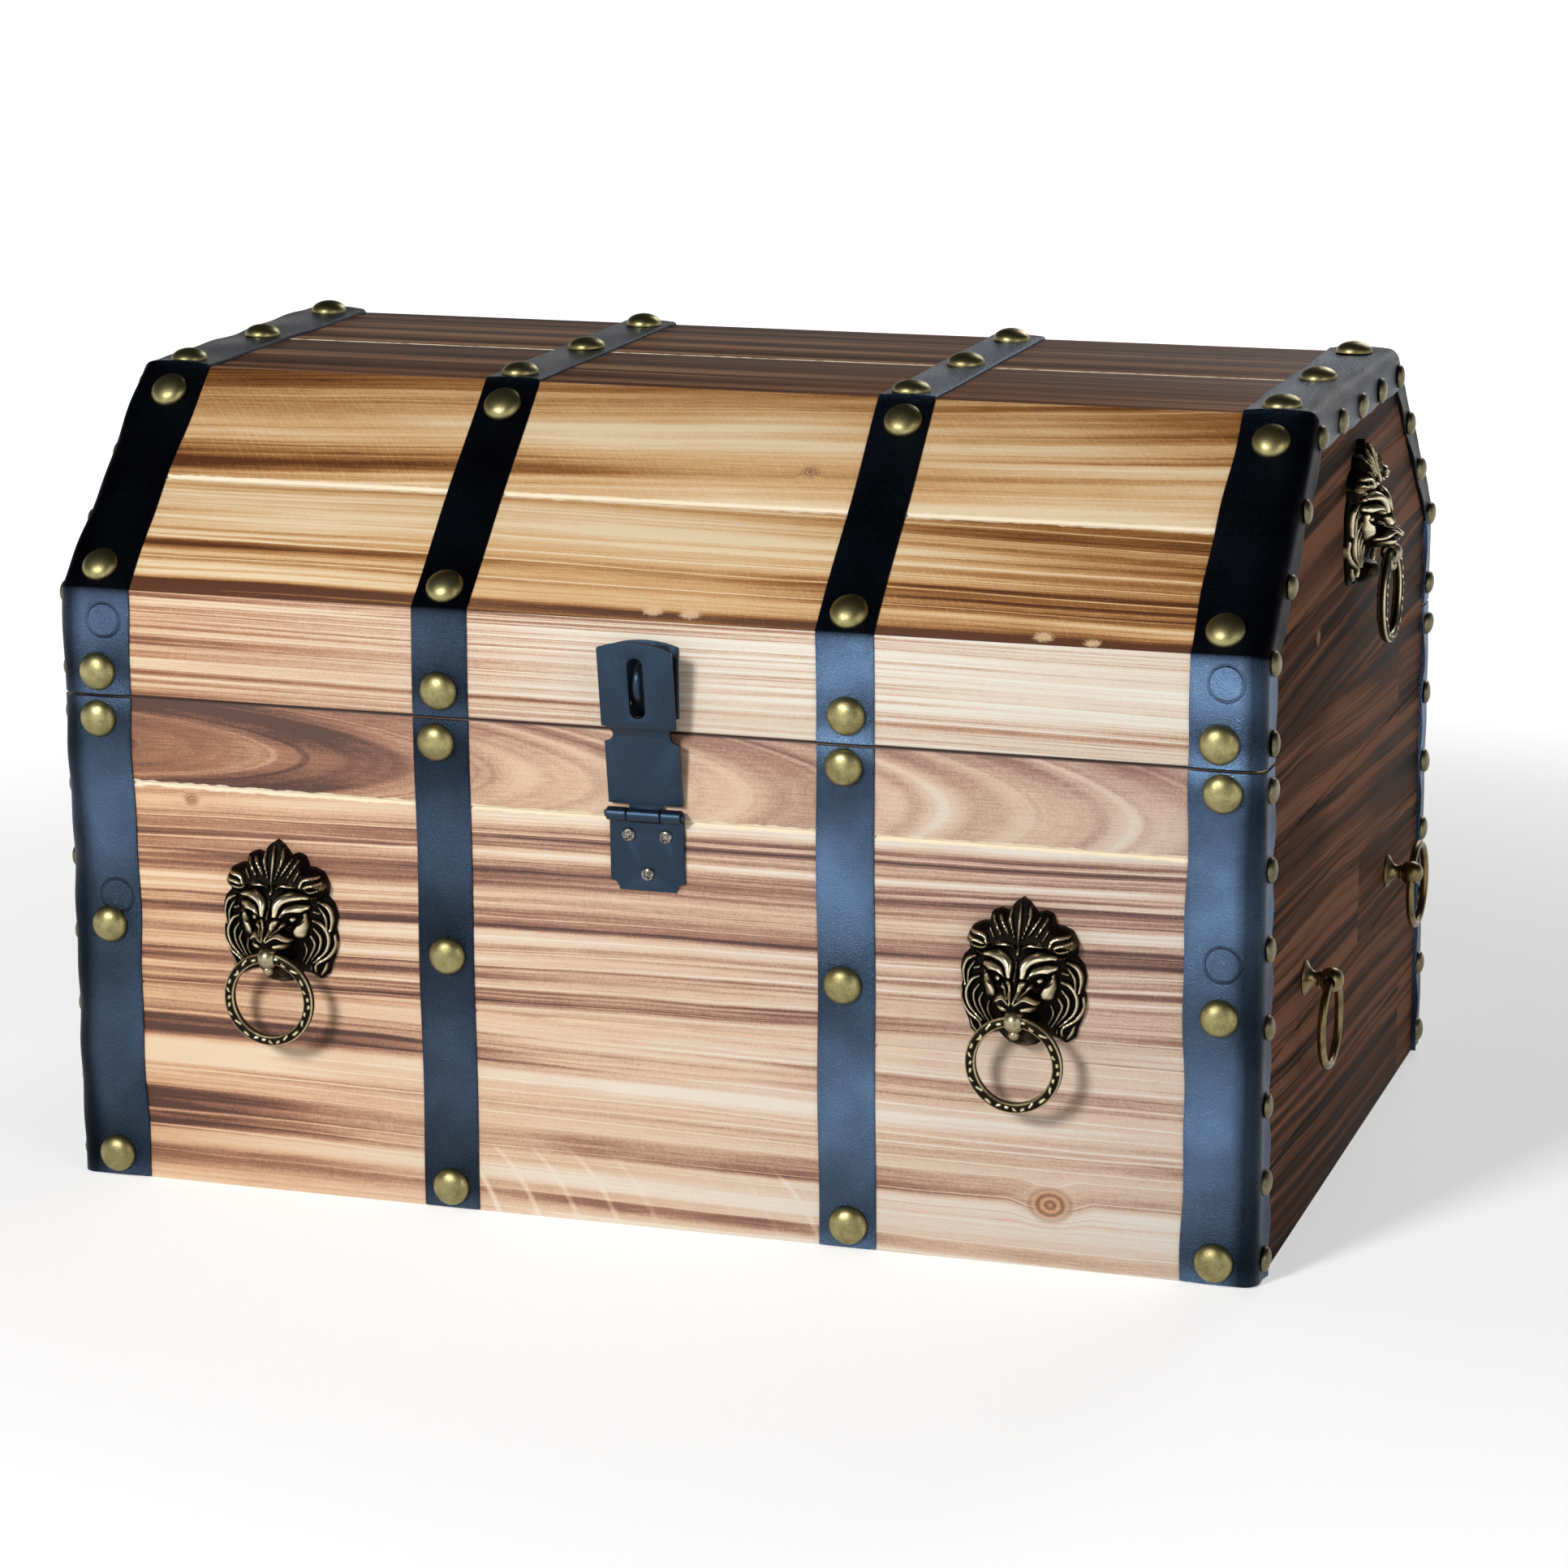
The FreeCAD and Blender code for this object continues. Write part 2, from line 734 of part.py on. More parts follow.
def hasp_leaf():
    crest = size("leaf_crown")
    top = size("leaf_reach") + crest
    joggle = size("leaf_joggle")
    bend = size("joggle_height")
    bend_top = bend + joggle * 2
    inner = pin_out - size("leaf_room")
    raised = inner - joggle
    start = knuckle + size("knuckle_gap")
    strip = new_body("leaf_strip")
    outline = [
        (inner, start),
        (inner, bend),
        (raised, bend_top),
        (raised, top),
        (raised - plate, top),
        (raised - plate, bend_top),
        (inner - plate, bend),
        (inner - plate, start),
    ]
    pad(strip, closed_sketch(strip, "YZ_Plane", outline), hasp_wide, "Symmetric")
    arch = (hasp_wide * hasp_wide / 4 + crest * crest) / (crest * 2)
    arched = doc.addObject("Part::Common", "leaf_arched")
    arched.Base = strip
    arched.Tool = rod("leaf_arch", arch, arch * 2, y=arch, z=top - arch, turn=OUT_FRONT)
    arm_wide = size("knuckle_wide")
    arm = box("leaf_arm", arm_wide, plate, start + plate, x=-arm_wide / 2, y=inner - plate)
    curl = barrel("leaf_knuckle", arm_wide, x=-arm_wide / 2)
    slot_round = size("slot_wide") / 2
    slot_head = size("leaf_reach") - size("slot_edge") - slot_round
    slot_foot = slot_head - size("slot_tall") + slot_round * 2
    back = raised - plate
    through = plate + joggle
    tools = [
        pin_bore("leaf_bore", arm_wide, x=-arm_wide / 2),
        box("slot_middle", slot_round * 2, through + over * 2, slot_head - slot_foot,
            -slot_round, back - over, slot_foot),
    ]
    tools += [drill("slot_end", slot_round, 0, z, back, through) for z in (slot_foot, slot_head)]
    for x in (-hasp_wide / 2, hasp_wide / 2):
        tools.append(drill("leaf_notch", size("hasp_notch"), x, size("leaf_waist"), back, through))
    leaf = cut("leaf", fuse("leaf_solid", [arched, arm, curl]), fuse("leaf_tools", tools))
    ajar = size("leaf_ajar_degrees")
    place(leaf, hasp_x, -half_depth - pin_out, pin_height, Rotation(Vector(1, 0, 0), ajar.number))
    leaf.setExpression("Placement.Rotation.Angle", f"{ajar.formula} * 1deg")
    node(leaf, "hasp_leaf")


def staple_screw_places():
    edge = size("staple_screw_edge")
    reach = size("staple_plate_wide") / 2 - edge
    levels = (staple_plate_low + edge, staple_plate_high - edge)
    return [(hasp_x + side * reach, z) for side in (-1, 1) for z in levels]


def staple_plate():
    deep = size("staple_plate_thick")
    face = -half_depth - deep
    wire = size("staple_wire")
    tall = staple_plate_high - staple_plate_low
    wide = size("staple_plate_wide")
    crest = size("staple_plate_crown")
    arch = (wide * wide / 4 + crest * crest) / (crest * 2)
    arched = doc.addObject("Part::Common", "staple_arched")
    arched.Base = box("staple_sheet", wide, deep, tall, hasp_x - wide / 2, face, staple_plate_low)
    arched.Tool = drill("staple_arch", arch, hasp_x, staple_plate_high - arch, face, deep)
    tools = plate_holes("staple", staple_screw_places(), face, deep)
    hole = wire + size("screw_room")
    reach = size("staple_half") - wire / 2
    for side in (-1, 1):
        foot = staple_middle + side * reach - hole / 2
        tools.append(box("leg_hole", hole, deep + over * 2, hole, hasp_x - hole / 2, face - over, foot))
    node(cut("staple_base", arched, fuse("staple_holes", tools)), "staple_plate")


def staple():
    wire = size("staple_wire")
    half = size("staple_half")
    hollow = half - wire
    bend_y = -half_depth - size("staple_out") + half
    leg = -half_depth + size("staple_leg") - bend_y
    z = staple_middle
    x = hasp_x - wire / 2
    outer = fuse("staple_outer", [
        rod("staple_bend", half, wire, x, bend_y, z, ALONG_X),
        box("staple_legs", wire, leg, half * 2, x, bend_y, z - half),
    ])
    inner = fuse("staple_inner", [
        rod("staple_eye", hollow, wire + over * 2, x - over, bend_y, z, ALONG_X),
        box("staple_gap", wire + over * 2, leg + over, hollow * 2, x - over, bend_y, z - hollow),
    ])
    node(cut("staple_loop", outer, inner), "staple")


# Butt hinges at the back

hinge_axis_y = half_depth + pin_out
hinge_x = panel_middle - size("hinge_inward")
hinge_left = hinge_x - size("hinge_wide") / 2


def hinge_screw_places(upward):
    reach = size("hinge_screw_apart") / 2
    level = base_height + upward * size("hinge_screw_away")
    return [(hinge_x + side * reach, level) for side in (-1, 1)]


def hinge_leaf(label, upward, knuckles):
    """One leaf of each hinge, above or below the pin, with its knuckles given as (x, width)."""
    wide = size("hinge_wide")
    tall = size("hinge_leaf")
    clear = knuckle + size("knuckle_gap")
    low = base_height + clear if upward > 0 else base_height - tall
    solids = [box(f"{label}_plate", wide, plate, tall - clear, hinge_left, half_depth, low)]
    for x, barrel_wide in knuckles:
        solids.append(barrel(f"{label}_barrel", barrel_wide, x, hinge_axis_y, base_height))
        web_low = base_height if upward > 0 else base_height - clear
        solids.append(box(f"{label}_web", barrel_wide, plate, clear, x, half_depth, web_low))
    tools = [pin_bore(f"{label}_bore", wide, hinge_left, hinge_axis_y, base_height)]
    tools += plate_holes(label, hinge_screw_places(upward), half_depth, plate)
    right = cut(f"{label}_right", fuse(f"{label}_solid", solids), fuse(f"{label}_tools", tools))
    node(group(f"{label}_pair", [right, mirrored(f"{label}_left", right)]), label)


def hinges():
    wide = size("hinge_wide")
    gap = size("knuckle_gap")
    middle = size("knuckle_wide")
    side_wide = (wide - middle) / 2 - gap
    outer = [(hinge_left, side_wide), (hinge_left + wide - side_wide, side_wide)]
    hinge_leaf("hinge_base_leaves", -1, outer)
    hinge_leaf("hinge_lid_leaves", 1, [(hinge_left + side_wide + gap, middle)])
    right = hinge_rod("hinge_rod", wide, hinge_left, hinge_axis_y, base_height)
    node(group("hinge_rods", [right, mirrored("hinge_rod_left", right)]), "hinge_pins")


def screws():
    pattern = fastener("screw")

    def seats(places, face, outward):
        return [(Vector(x.number, face.number, z.number), Vector(0, outward, 0)) for x, z in places]

    staple_face = -half_depth - size("staple_plate_thick")
    driven("hasp_screws", pattern, seats(hasp_screw_places(), -half_depth - plate, -1))
    driven("staple_screws", pattern, seats(staple_screw_places(), staple_face, -1))
    for label, upward in (("hinge_base_screws", -1), ("hinge_lid_screws", 1)):
        places = hinge_screw_places(upward)
        places += [(-x, z) for x, z in places]
        driven(label, pattern, seats(places, half_depth + plate, 1))


# Ring pulls: faceted solids, because the small forms repeat

lid_lion_height = crown - size("flange_wide") + strap - size("lid_crest_gap") - size("lion_over")


def ring_solid(radius, tube, steps, sides):
    """A faceted ring that hangs below the origin in the XZ plane, a flat of its bar at the origin."""
    sections = []
    for step in range(steps):
        turn = 2 * math.pi * (step + 0.5) / steps
        section = []
        for side in range(sides):
            angle = 2 * math.pi * side / sides
            reach = (radius + tube * math.cos(angle)) / math.cos(math.pi / steps)
            across, up = reach * math.sin(turn), reach * math.cos(turn)
            section.append(Vector(across, tube * math.sin(angle), up - radius))
        sections.append(section)
    loops = []
    for step in range(steps):
        here, there = sections[step - 1], sections[step]
        for side in range(sides):
            loops.append([here[side - 1], there[side - 1], there[side], here[side]])
    return faceted(loops)


def ring_node(label, shape, where, turn):
    item = shaped(label, [shape.copy()])
    item.Placement = Placement(where, turn)
    node(item, label)


def ring_eye(tube, reach):
    """The flat sided hole along X that a ring's bar turns in, centred on the origin."""
    sides = count("eye_sides")
    flat = (tube + size("ring_room").number) / math.cos(math.pi / sides)
    hole = turned([(-reach / 2, flat), (reach / 2, flat)], sides)
    return hole.transformGeometry(Placement(Vector(), ALONG_X).toMatrix())


def spindle(start, end, half_wide, half_thick):
    """A lock, leaf or brow: eight flat faces that taper from the middle to both ends."""
    along = (end - start).normalize()
    across = along.cross(Vector(0, 1, 0)).normalize()
    out = across.cross(along)
    middle = start + (end - start) * 0.5
    waist = [middle + across * half_wide, middle + out * half_thick,
             middle - across * half_wide, middle - out * half_thick]
    loops = []
    for index in range(4):
        loops.append([start, waist[index - 1], waist[index]])
        loops.append([end, waist[index], waist[index - 1]])
    return faceted(loops)


def domed(sections, half_wide, half_tall, corners, scallop=1.0):
    """Flat faced dome off the wall from (depth, scale, height) rings of one oval.

    Every second corner is drawn in by the scallop.
    """
    rings = []
    for depth, scale, height in sections:
        ring = []
        for corner in range(corners):
            angle = 2 * math.pi * corner / corners
            share = scale * (scallop if corner % 2 else 1.0)
            x = share * half_wide * math.sin(angle)
            ring.append(Vector(x, -depth, height + share * half_tall * math.cos(angle)))
        rings.append(ring)
    return stacked(rings)


def lion_mask_solid():
    """A lion mask on the wall plane, facing -Y, with the axis of its mouth ring at height zero."""
    half_wide = size("lion_wide").number / 2
    tall = size("lion_over").number
    out = size("mouth_out").number
    sides = count("lion_sides")
    ear_sides = count("ear_sides")
    tip = 1 + size("snout_over").number / out
    chin = -size("lion_under").number / tall

    def at(across, depth, height):
        """A point at shares of the half width, of the mouth's reach and of the height over it."""
        return Vector(across * half_wide, -depth * out, height * tall)

    def oval(rings, middle, wide, high, corners, scallop=1.0):
        """A dome from (depth, scale) rings about one height, in the same shares."""
        sections = [(depth * out, scale, middle * tall) for depth, scale in rings]
        return domed(sections, wide * half_wide, high * tall, corners, scallop)

    def ridge(start, end, wide, thick):
        return spindle(at(*start), at(*end), wide * half_wide, thick * out)

    # Mane, head and muzzle
    mane_middle = 0.27
    mane_high = mane_middle - 0.75 * chin
    solids = [
        oval([(0, 1), (0.25, 0.97), (0.5, 0.66)], mane_middle, 1, mane_high, count("lion_locks") * 2, 0.88),
        oval([(0, 1), (0.62, 0.94), (0.88, 0.68), (1, 0.35)], 0.35, 0.72, 0.42, sides),
        oval([(0.5, 1.08), (1, 0.95), (tip - 0.08, 0.7), (tip, 0.4)], 0.22, 0.4, 0.16, sides),
    ]
    # Bridge of the nose, nostrils and chin
    solids += [
        ridge((0, 0.9, 0.5), (0, tip, 0.24), 0.16, 0.18),
        ridge((-0.26, tip, 0.26), (0.26, tip, 0.26), 0.09, 0.15),
        ridge((0, 0.6, -0.02), (0, 0.4, chin), 0.27, 0.3),
    ]
    # Brow, eyelid, cheek and hollow ear of each side
    ear_wide = 0.24
    ear_high = ear_wide * half_wide / tall
    for side in (-1, 1):
        solids += [
            ridge((side * 0.05, 0.98, 0.465), (side * 0.62, 0.66, 0.56), 0.09, 0.17),
            ridge((side * 0.16, 0.97, 0.38), (side * 0.45, 0.86, 0.41), 0.07, 0.12),
            ridge((side * 0.08, tip, 0.2), (side * 0.55, 0.8, 0.1), 0.12, 0.2),
        ]
        ear = oval([(0, 1), (0.5, 0.8)], 0.68, ear_wide, ear_high, ear_sides)
        ear = ear.cut(oval([(0.28, 0.2), (0.55, 0.62)], 0.68, ear_wide, ear_high, ear_sides))
        ear.translate(at(side * 0.66, 0, 0))
        solids.append(ear)
    # Crest of five leaves
    for lean, reach in ((0, 0.4), (-26, 0.36), (26, 0.36), (-52, 0.31), (52, 0.31)):
        tilt = math.radians(lean)
        across = math.sin(tilt) * reach * tall / half_wide
        leaf_tip = (across, 0.12, 0.6 + math.cos(tilt) * reach)
        solids.append(ridge((0, 0.3, 0.6), leaf_tip, 0.13, 0.12))
    # Knob in the mouth, pierced for the ring
    radius = size("mouth_radius").number
    half_knob = size("mouth_half").number
    knob = domed([(-half_knob, 1, 0), (half_knob, 1, 0)], radius, radius, sides)
    knob.Placement = Placement(at(0, 1, 0), Rotation(Vector(0, 0, 1), 90))
    hole = ring_eye(size("lion_ring_tube").number, half_wide * 2)
    hole.translate(at(0, 1, 0))
    return knob.fuse(solids).removeSplitter().cut(hole)


def lion_screw_solid():
    """A screw with a countersunk head at the origin, along -Y through a wall into a mask."""
    head_radius = size("lion_screw_head").number
    radius = size("lion_screw_radius").number
    sides = count("screw_sides")
    reach = thick.number + size("lion_screw_bite").number
    head_end = (size("lion_screw_sink").number, radius / head_radius, 0)
    head = domed([(0, 1, 0), head_end], head_radius, head_radius, sides)
    shank = domed([(0, 1, 0), (reach, 1, 0)], radius, radius, sides)
    return head.fuse(shank).removeSplitter()


def lions():
    pattern = shaped("lion_mask_pattern", [lion_mask_solid()])
    ring = ring_solid(size("lion_ring_radius").number, size("lion_ring_tube").number,
                      count("ring_steps"), count("ring_sides"))
    screw = lion_screw_solid()
    out = size("mouth_out").number
    spots = []
    for side, hand in ((-1, "left"), (1, "right")):
        on_front = (side * (panel_middle - size("lion_inward")), -half_depth, size("lion_height"))
        on_lid = (side * half_length, as_size(0), lid_lion_height)
        spots.append(("base", f"front_{hand}", on_front, 0))
        spots.append(("lid", f"lid_{hand}", on_lid, side * 90))
    fixings = {"base": [], "lid": []}
    for carrier, where, spot, angle in spots:
        turn = Rotation(Vector(0, 0, 1), angle)
        mask = group(f"{where}_mask", [pattern])
        node(place(mask, *spot, turn), f"{where}_lion_mask")
        wall = Vector(*(value.number for value in spot))
        ring_node(f"{where}_lion_ring", ring, wall + turn.multVec(Vector(0, -out, 0)), turn)
        fixing = screw.copy()
        inside = Vector(0, thick.number, size("lion_screw_above").number)
        fixing.Placement = Placement(wall + turn.multVec(inside), turn)
        fixings[carrier].append(fixing)
    for carrier, solids in fixings.items():
        label = f"{carrier}_lion_screws"
        node(shaped(label, solids), label)


def post_solid():
    """A turned post along +Z with a ball at its end, pierced along Y for its ring."""
    flare = size("post_flare").number
    neck = size("post_neck").number
    ball = size("post_ball").number
    out = size("post_out").number
    bite = size("post_bite").number
    rim = size("post_rim").number
    shank_radius = size("post_shank").number
    throat = out - math.sqrt(ball * ball - neck * neck)
    profile = [(0, flare), (rim, flare), ((rim + throat) / 2, (flare + neck * 2) / 3), (throat, neck)]
    for angle in (-30, 0, 30, 60, 82):
        lean = math.radians(angle)
        profile.append((out + ball * math.sin(lean), ball * math.cos(lean)))
    shank = turned([(-bite, shank_radius), (0, shank_radius)], count("eye_sides"))
    post = turned(profile, count("post_sides")).fuse(shank).removeSplitter()
    hole = ring_eye(size("pull_ring_tube").number, ball * 4)
    hole.Placement = Placement(Vector(0, 0, out), Rotation(Vector(0, 0, 1), 90))
    return post.cut(hole)


def ring_pulls():
    pattern = post_solid()
    ring = ring_solid(size("pull_ring_radius").number, size("pull_ring_tube").number,
                      count("ring_steps"), count("ring_sides"))
    out = size("post_out").number
    apart = size("post_place").number
    level = size("post_height").number
    aside = size("pull_aside_degrees").number
    posts = []
    for side, hand in ((-1, "left"), (1, "right")):
        for depth_side, face in ((-1, "front"), (1, "back")):
            seat = Vector(side * half_length.number, depth_side * apart, level)
            turned_aside = (hand, face) == ("right", "back")
            facing = Rotation(Vector(0, 1, 0), side * 90)
            spin = Rotation(Vector(0, 0, 1), aside if turned_aside else 0)
            post = pattern.copy()
            post.Placement = Placement(seat, facing * spin)
            posts.append(post)
            hang = Rotation(Vector(0, 0, 1), 90)
            if turned_aside:
                hang = Rotation(Vector(1, 0, 0), aside) * hang
            ring_node(f"{hand}_{face}_pull_ring", ring, seat + Vector(side * out, 0, 0), hang)
    node(shaped("ring_posts", posts), "ring_posts")


def checked():
    """Every object sound, or the names of those that are not."""
    doc.recompute()
    faults = [item.Name for item in doc.Objects if "Invalid" in item.State or "Error" in item.State]
    for item in nodes:
        if item.Shape.isNull() or not item.Shape.isValid() or not item.Shape.Solids:
            faults.append(item.Label)
    return faults


base_boards()
base_ends()
base_floor()
lid_boards()
lid_ends()
base_corner_straps()
base_mid_straps()
lid_straps()
nails()
tacks()
hasp_lower_leaf()
hasp_pin()
hasp_leaf()
staple_plate()
staple()
hinges()
screws()
lions()
ring_pulls()

faults = checked()
if faults:
    raise RuntimeError("unsound: " + ", ".join(faults))
os.makedirs("parts", exist_ok=True)
for item in nodes:
    item.Shape.exportStep(f"parts/{item.Label}.step")
print(len(nodes), "sub-parts")
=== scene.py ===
import json
import math

import bmesh
import bpy
import numpy as np
from mathutils import Matrix, Vector


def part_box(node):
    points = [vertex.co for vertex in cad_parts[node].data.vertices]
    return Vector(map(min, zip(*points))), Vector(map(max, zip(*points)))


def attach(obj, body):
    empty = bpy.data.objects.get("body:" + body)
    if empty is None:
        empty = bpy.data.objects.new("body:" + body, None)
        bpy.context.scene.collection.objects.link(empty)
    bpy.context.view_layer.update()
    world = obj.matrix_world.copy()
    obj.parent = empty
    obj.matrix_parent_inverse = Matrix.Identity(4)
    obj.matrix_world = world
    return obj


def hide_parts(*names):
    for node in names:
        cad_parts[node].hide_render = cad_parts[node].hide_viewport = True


# The looks of a torched pine treasure chest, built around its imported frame.
# Meshes are drawn in millimetres, in the frame's own axes, and become metres when they are made.

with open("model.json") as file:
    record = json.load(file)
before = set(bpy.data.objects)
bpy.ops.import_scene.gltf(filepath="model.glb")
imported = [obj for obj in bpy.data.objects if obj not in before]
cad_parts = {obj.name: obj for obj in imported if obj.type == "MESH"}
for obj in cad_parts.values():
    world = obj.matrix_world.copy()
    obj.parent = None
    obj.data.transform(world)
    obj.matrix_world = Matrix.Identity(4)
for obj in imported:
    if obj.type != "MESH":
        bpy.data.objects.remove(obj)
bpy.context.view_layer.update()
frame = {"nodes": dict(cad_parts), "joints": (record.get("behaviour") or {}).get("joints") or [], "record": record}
MM = 0.001
dice = np.random.default_rng(7)
SIDES = ((-1, "left"), (1, "right"))
FACES = ((-1, "front"), (1, "back"))


# Sizes read from the frame, in millimetres


def span(node):
    low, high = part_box(node)
    return np.array(low) / MM, np.array(high) / MM


lower_low, lower_high = span("base_front_board_lower")
HALF_LENGTH = lower_high[0]
HALF_DEPTH = -lower_low[1]
LOWER_JOINT = lower_high[2]
UPPER_JOINT = span("base_front_board_middle")[1][2]
PARTING = span("base_front_board_upper")[1][2]
SHOULDER = span("lid_front_rail")[1][2]
top_low, top_high = span("lid_top_front_board")
HALF_TOP = -top_low[1]
CROWN = top_high[2]
SLOPE_RUN = HALF_DEPTH - HALF_TOP
SLOPE_RISE = CROWN - SHOULDER
SLOPE_LENGTH = math.hypot(SLOPE_RUN, SLOPE_RISE)
HALF_SLOPE = SLOPE_LENGTH / 2
strap_low, strap_high = span("base_front_mid_straps")
STRAP = -HALF_DEPTH - strap_low[1]
STRAP_FOOT, STRAP_HEAD = strap_low[2], strap_high[2]
corner_low, corner_high = span("base_front_right_strap")
END_STRAP_WIDE, FLANGE_WIDE = (corner_high - corner_low)[:2]
LID_STRAP_FOOT = span("lid_mid_straps")[0][2]

BODY_OF = {node: body for body, nodes in frame["record"]["behaviour"]["bodies"].items() for node in nodes}
JOINT_AT = {row["name"]: np.array(row["pos_m"]) / MM for row in frame["joints"]}


# Shapes: a pair of points and faces


def joined(shapes):
    points, faces = [], []
    start = 0
    for shape_points, shape_faces in shapes:
        points.append(shape_points)
        faces += [tuple(index + start for index in face) for face in shape_faces]
        start += len(shape_points)
    return np.concatenate(points), faces


def placed(shape, matrix):
    points, faces = shape
    turn = np.array(matrix.to_3x3())
    return points @ turn.T + np.array(matrix.translation), faces


def moved(point):
    return Matrix.Translation(Vector(point))


def turned(degrees, axis):
    return Matrix.Rotation(math.radians(degrees), 4, axis)


def facing(point, outward, spin=0.0):
    """The matrix that stands a shape drawn along +Z on a point, its top towards outward."""
    turn = Vector(outward).to_track_quat("Z", "Y").to_matrix().to_4x4()
    return moved(point) @ turn @ Matrix.Rotation(spin, 4, "Z")


def around(count):
    """Angles evenly round a circle."""
    return np.arange(count) * 2 * math.pi / count


def swept(loops, closed=False):
    """A skin over loops of as many points each, capped at both ends unless the sweep is closed."""
    count, size = len(loops), len(loops[0])
    points = np.concatenate(loops)
    faces = []
    for row in range(count if closed else count - 1):
        here, there = row * size, (row + 1) % count * size
        for index in range(size):
            after = (index + 1) % size
            faces.append((here + index, here + after, there + after, there + index))
    if not closed:
        faces.append(tuple(range(size))[::-1])
        faces.append(tuple(range((count - 1) * size, count * size)))
    return points, faces


TIP_RADIUS = 1e-4


def lathe(profile, segments):
    """A turning about +Z from (radius, height) pairs, its ends closed."""
    angles = around(segments)
    loops = []
    for radius, height in profile:
        reach = max(radius, TIP_RADIUS)
        level = np.full(segments, height)
        loops.append(np.stack([reach * np.cos(angles), reach * np.sin(angles), level], axis=1))
    return swept(loops)


def half_circle(radius, start, count):
    """(radius, height) pairs up a ball, from an angle off its lower pole to the same off its upper one."""
    turns = np.linspace(start, math.pi - start, count)
    return [(radius * math.sin(turn), -radius * math.cos(turn)) for turn in turns]


def piece(name, shape, material, node, attributes=None):
    """A mesh object from a shape in millimetres, standing for a CAD node."""
    points, faces = shape
    mesh = bpy.data.meshes.new(name)
    mesh.from_pydata((points * MM).tolist(), [], faces)
    for key, values in (attributes or {}).items():
        layer = mesh.attributes.new(key, "FLOAT", "POINT")
        layer.data.foreach_set("value", np.asarray(values, np.float32))
    dressed(name, mesh, material, node)


SHARP_ANGLE = math.radians(40)


def dressed(name, mesh, material, node, flat_over=1.0):
    """The mesh as a piece that stands for a CAD node.

    Faces larger than flat_over, in square metres, are shaded flat.
    """
    work = bmesh.new()
    work.from_mesh(mesh)
    bmesh.ops.recalc_face_normals(work, faces=work.faces)
    work.to_mesh(mesh)
    work.free()
    item = bpy.data.objects.new(name, mesh)
    bpy.context.scene.collection.objects.link(item)
    mesh.materials.append(material)
    mesh.polygons.foreach_set("use_smooth", [face.area < flat_over for face in mesh.polygons])
    mesh.set_sharp_from_angle(angle=SHARP_ANGLE)
    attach(item, BODY_OF[node])
    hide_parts(node)


class Board:
    """Where a board lies: a point on its face, and its directions along, across and into the wood."""

    def __init__(self, origin, along, across, inward):
        self.origin, self.along, self.across, self.inward = (
            np.array(value, float) for value in (origin, along, across, inward))


FOLD_RADIUS = 6.4
FOLD_CUTS = np.radians((15, 45, 75))


def rounded_ends(work, board):
    """Cut the outer corners at a board's two ends round, where a strap folds over them."""
    out = -board.inward
    for side in (-1, 1):
        hub = np.array((side * (HALF_LENGTH - FOLD_RADIUS), 0, 0)) + (board.origin @ out - FOLD_RADIUS) * out
        for turn in FOLD_CUTS:
            normal = np.array((side * math.cos(turn), 0, 0)) + math.sin(turn) * out
            cut = bmesh.ops.bisect_plane(
                work, geom=work.verts[:] + work.edges[:] + work.faces[:], dist=1e-7,
                plane_co=(hub + FOLD_RADIUS * normal) * MM, plane_no=normal, clear_outer=True)
            rim = [item for item in cut["geom_cut"] if isinstance(item, bmesh.types.BMEdge)]
            bmesh.ops.holes_fill(work, edges=rim)


# The rolled knuckle of a leaf: its radius, and how deep the solid's own points about its axis are sunk in it.
# The two distances from the axis tell those points from the rest of the leaf.
KNUCKLE, KNUCKLE_SINK = 2.4, 0.08
KNUCKLE_POINTS = (1.6, 3.08)
# Points closer than MERGE, in metres, are one, and edges sharper than EDGE_ANGLE are rounded.
# Faces that meet at less than FLAT_ANGLE are one, and those over FLAT_FACE, in square metres, stay flat.
MERGE = 1e-6
EDGE_ANGLE, FLAT_ANGLE = math.radians(33), math.radians(0.5)
FLAT_FACE = 12 * MM ** 2


def copied(node):
    """A working copy of a CAD node's mesh, its doubled points merged."""
    work = bmesh.new()
    work.from_mesh(frame["nodes"][node].data)
    bmesh.ops.remove_doubles(work, verts=work.verts, dist=MERGE)
    return work


def softened(node, bevel, material, extra=(), board=None, barrel_axis=None):
    """A copy of a CAD node with its sharp edges rounded, and with extra shapes joined to it."""
    work = copied(node)
    bmesh.ops.dissolve_limit(work, angle_limit=FLAT_ANGLE, verts=work.verts, edges=work.edges)
    if barrel_axis is not None:
        for vert in work.verts:
            away = np.array(vert.co[1:]) / MM - barrel_axis
            reach = np.linalg.norm(away)
            if KNUCKLE_POINTS[0] < reach < KNUCKLE_POINTS[1]:
                vert.co[1:] = (barrel_axis + away / reach * (KNUCKLE - KNUCKLE_SINK)) * MM
    if board:
        rounded_ends(work, board)
    sharp = [edge for edge in work.edges if edge.is_manifold and edge.calc_face_angle(0) > EDGE_ANGLE]
    bmesh.ops.bevel(work, geom=sharp, offset=bevel * MM, offset_type="OFFSET", segments=2, profile=0.5,
                    affect="EDGES", clamp_overlap=True)
    for points, faces in extra:
        made = [work.verts.new(point * MM) for point in points]
        for face in faces:
            work.faces.new([made[index] for index in face])
    for layer in list(work.loops.layers.uv):
        work.loops.layers.uv.remove(layer)
    copy = bpy.data.meshes.new(node)
    work.to_mesh(copy)
    work.free()
    dressed(f"{node}_finished", copy, material, node, flat_over=FLAT_FACE)


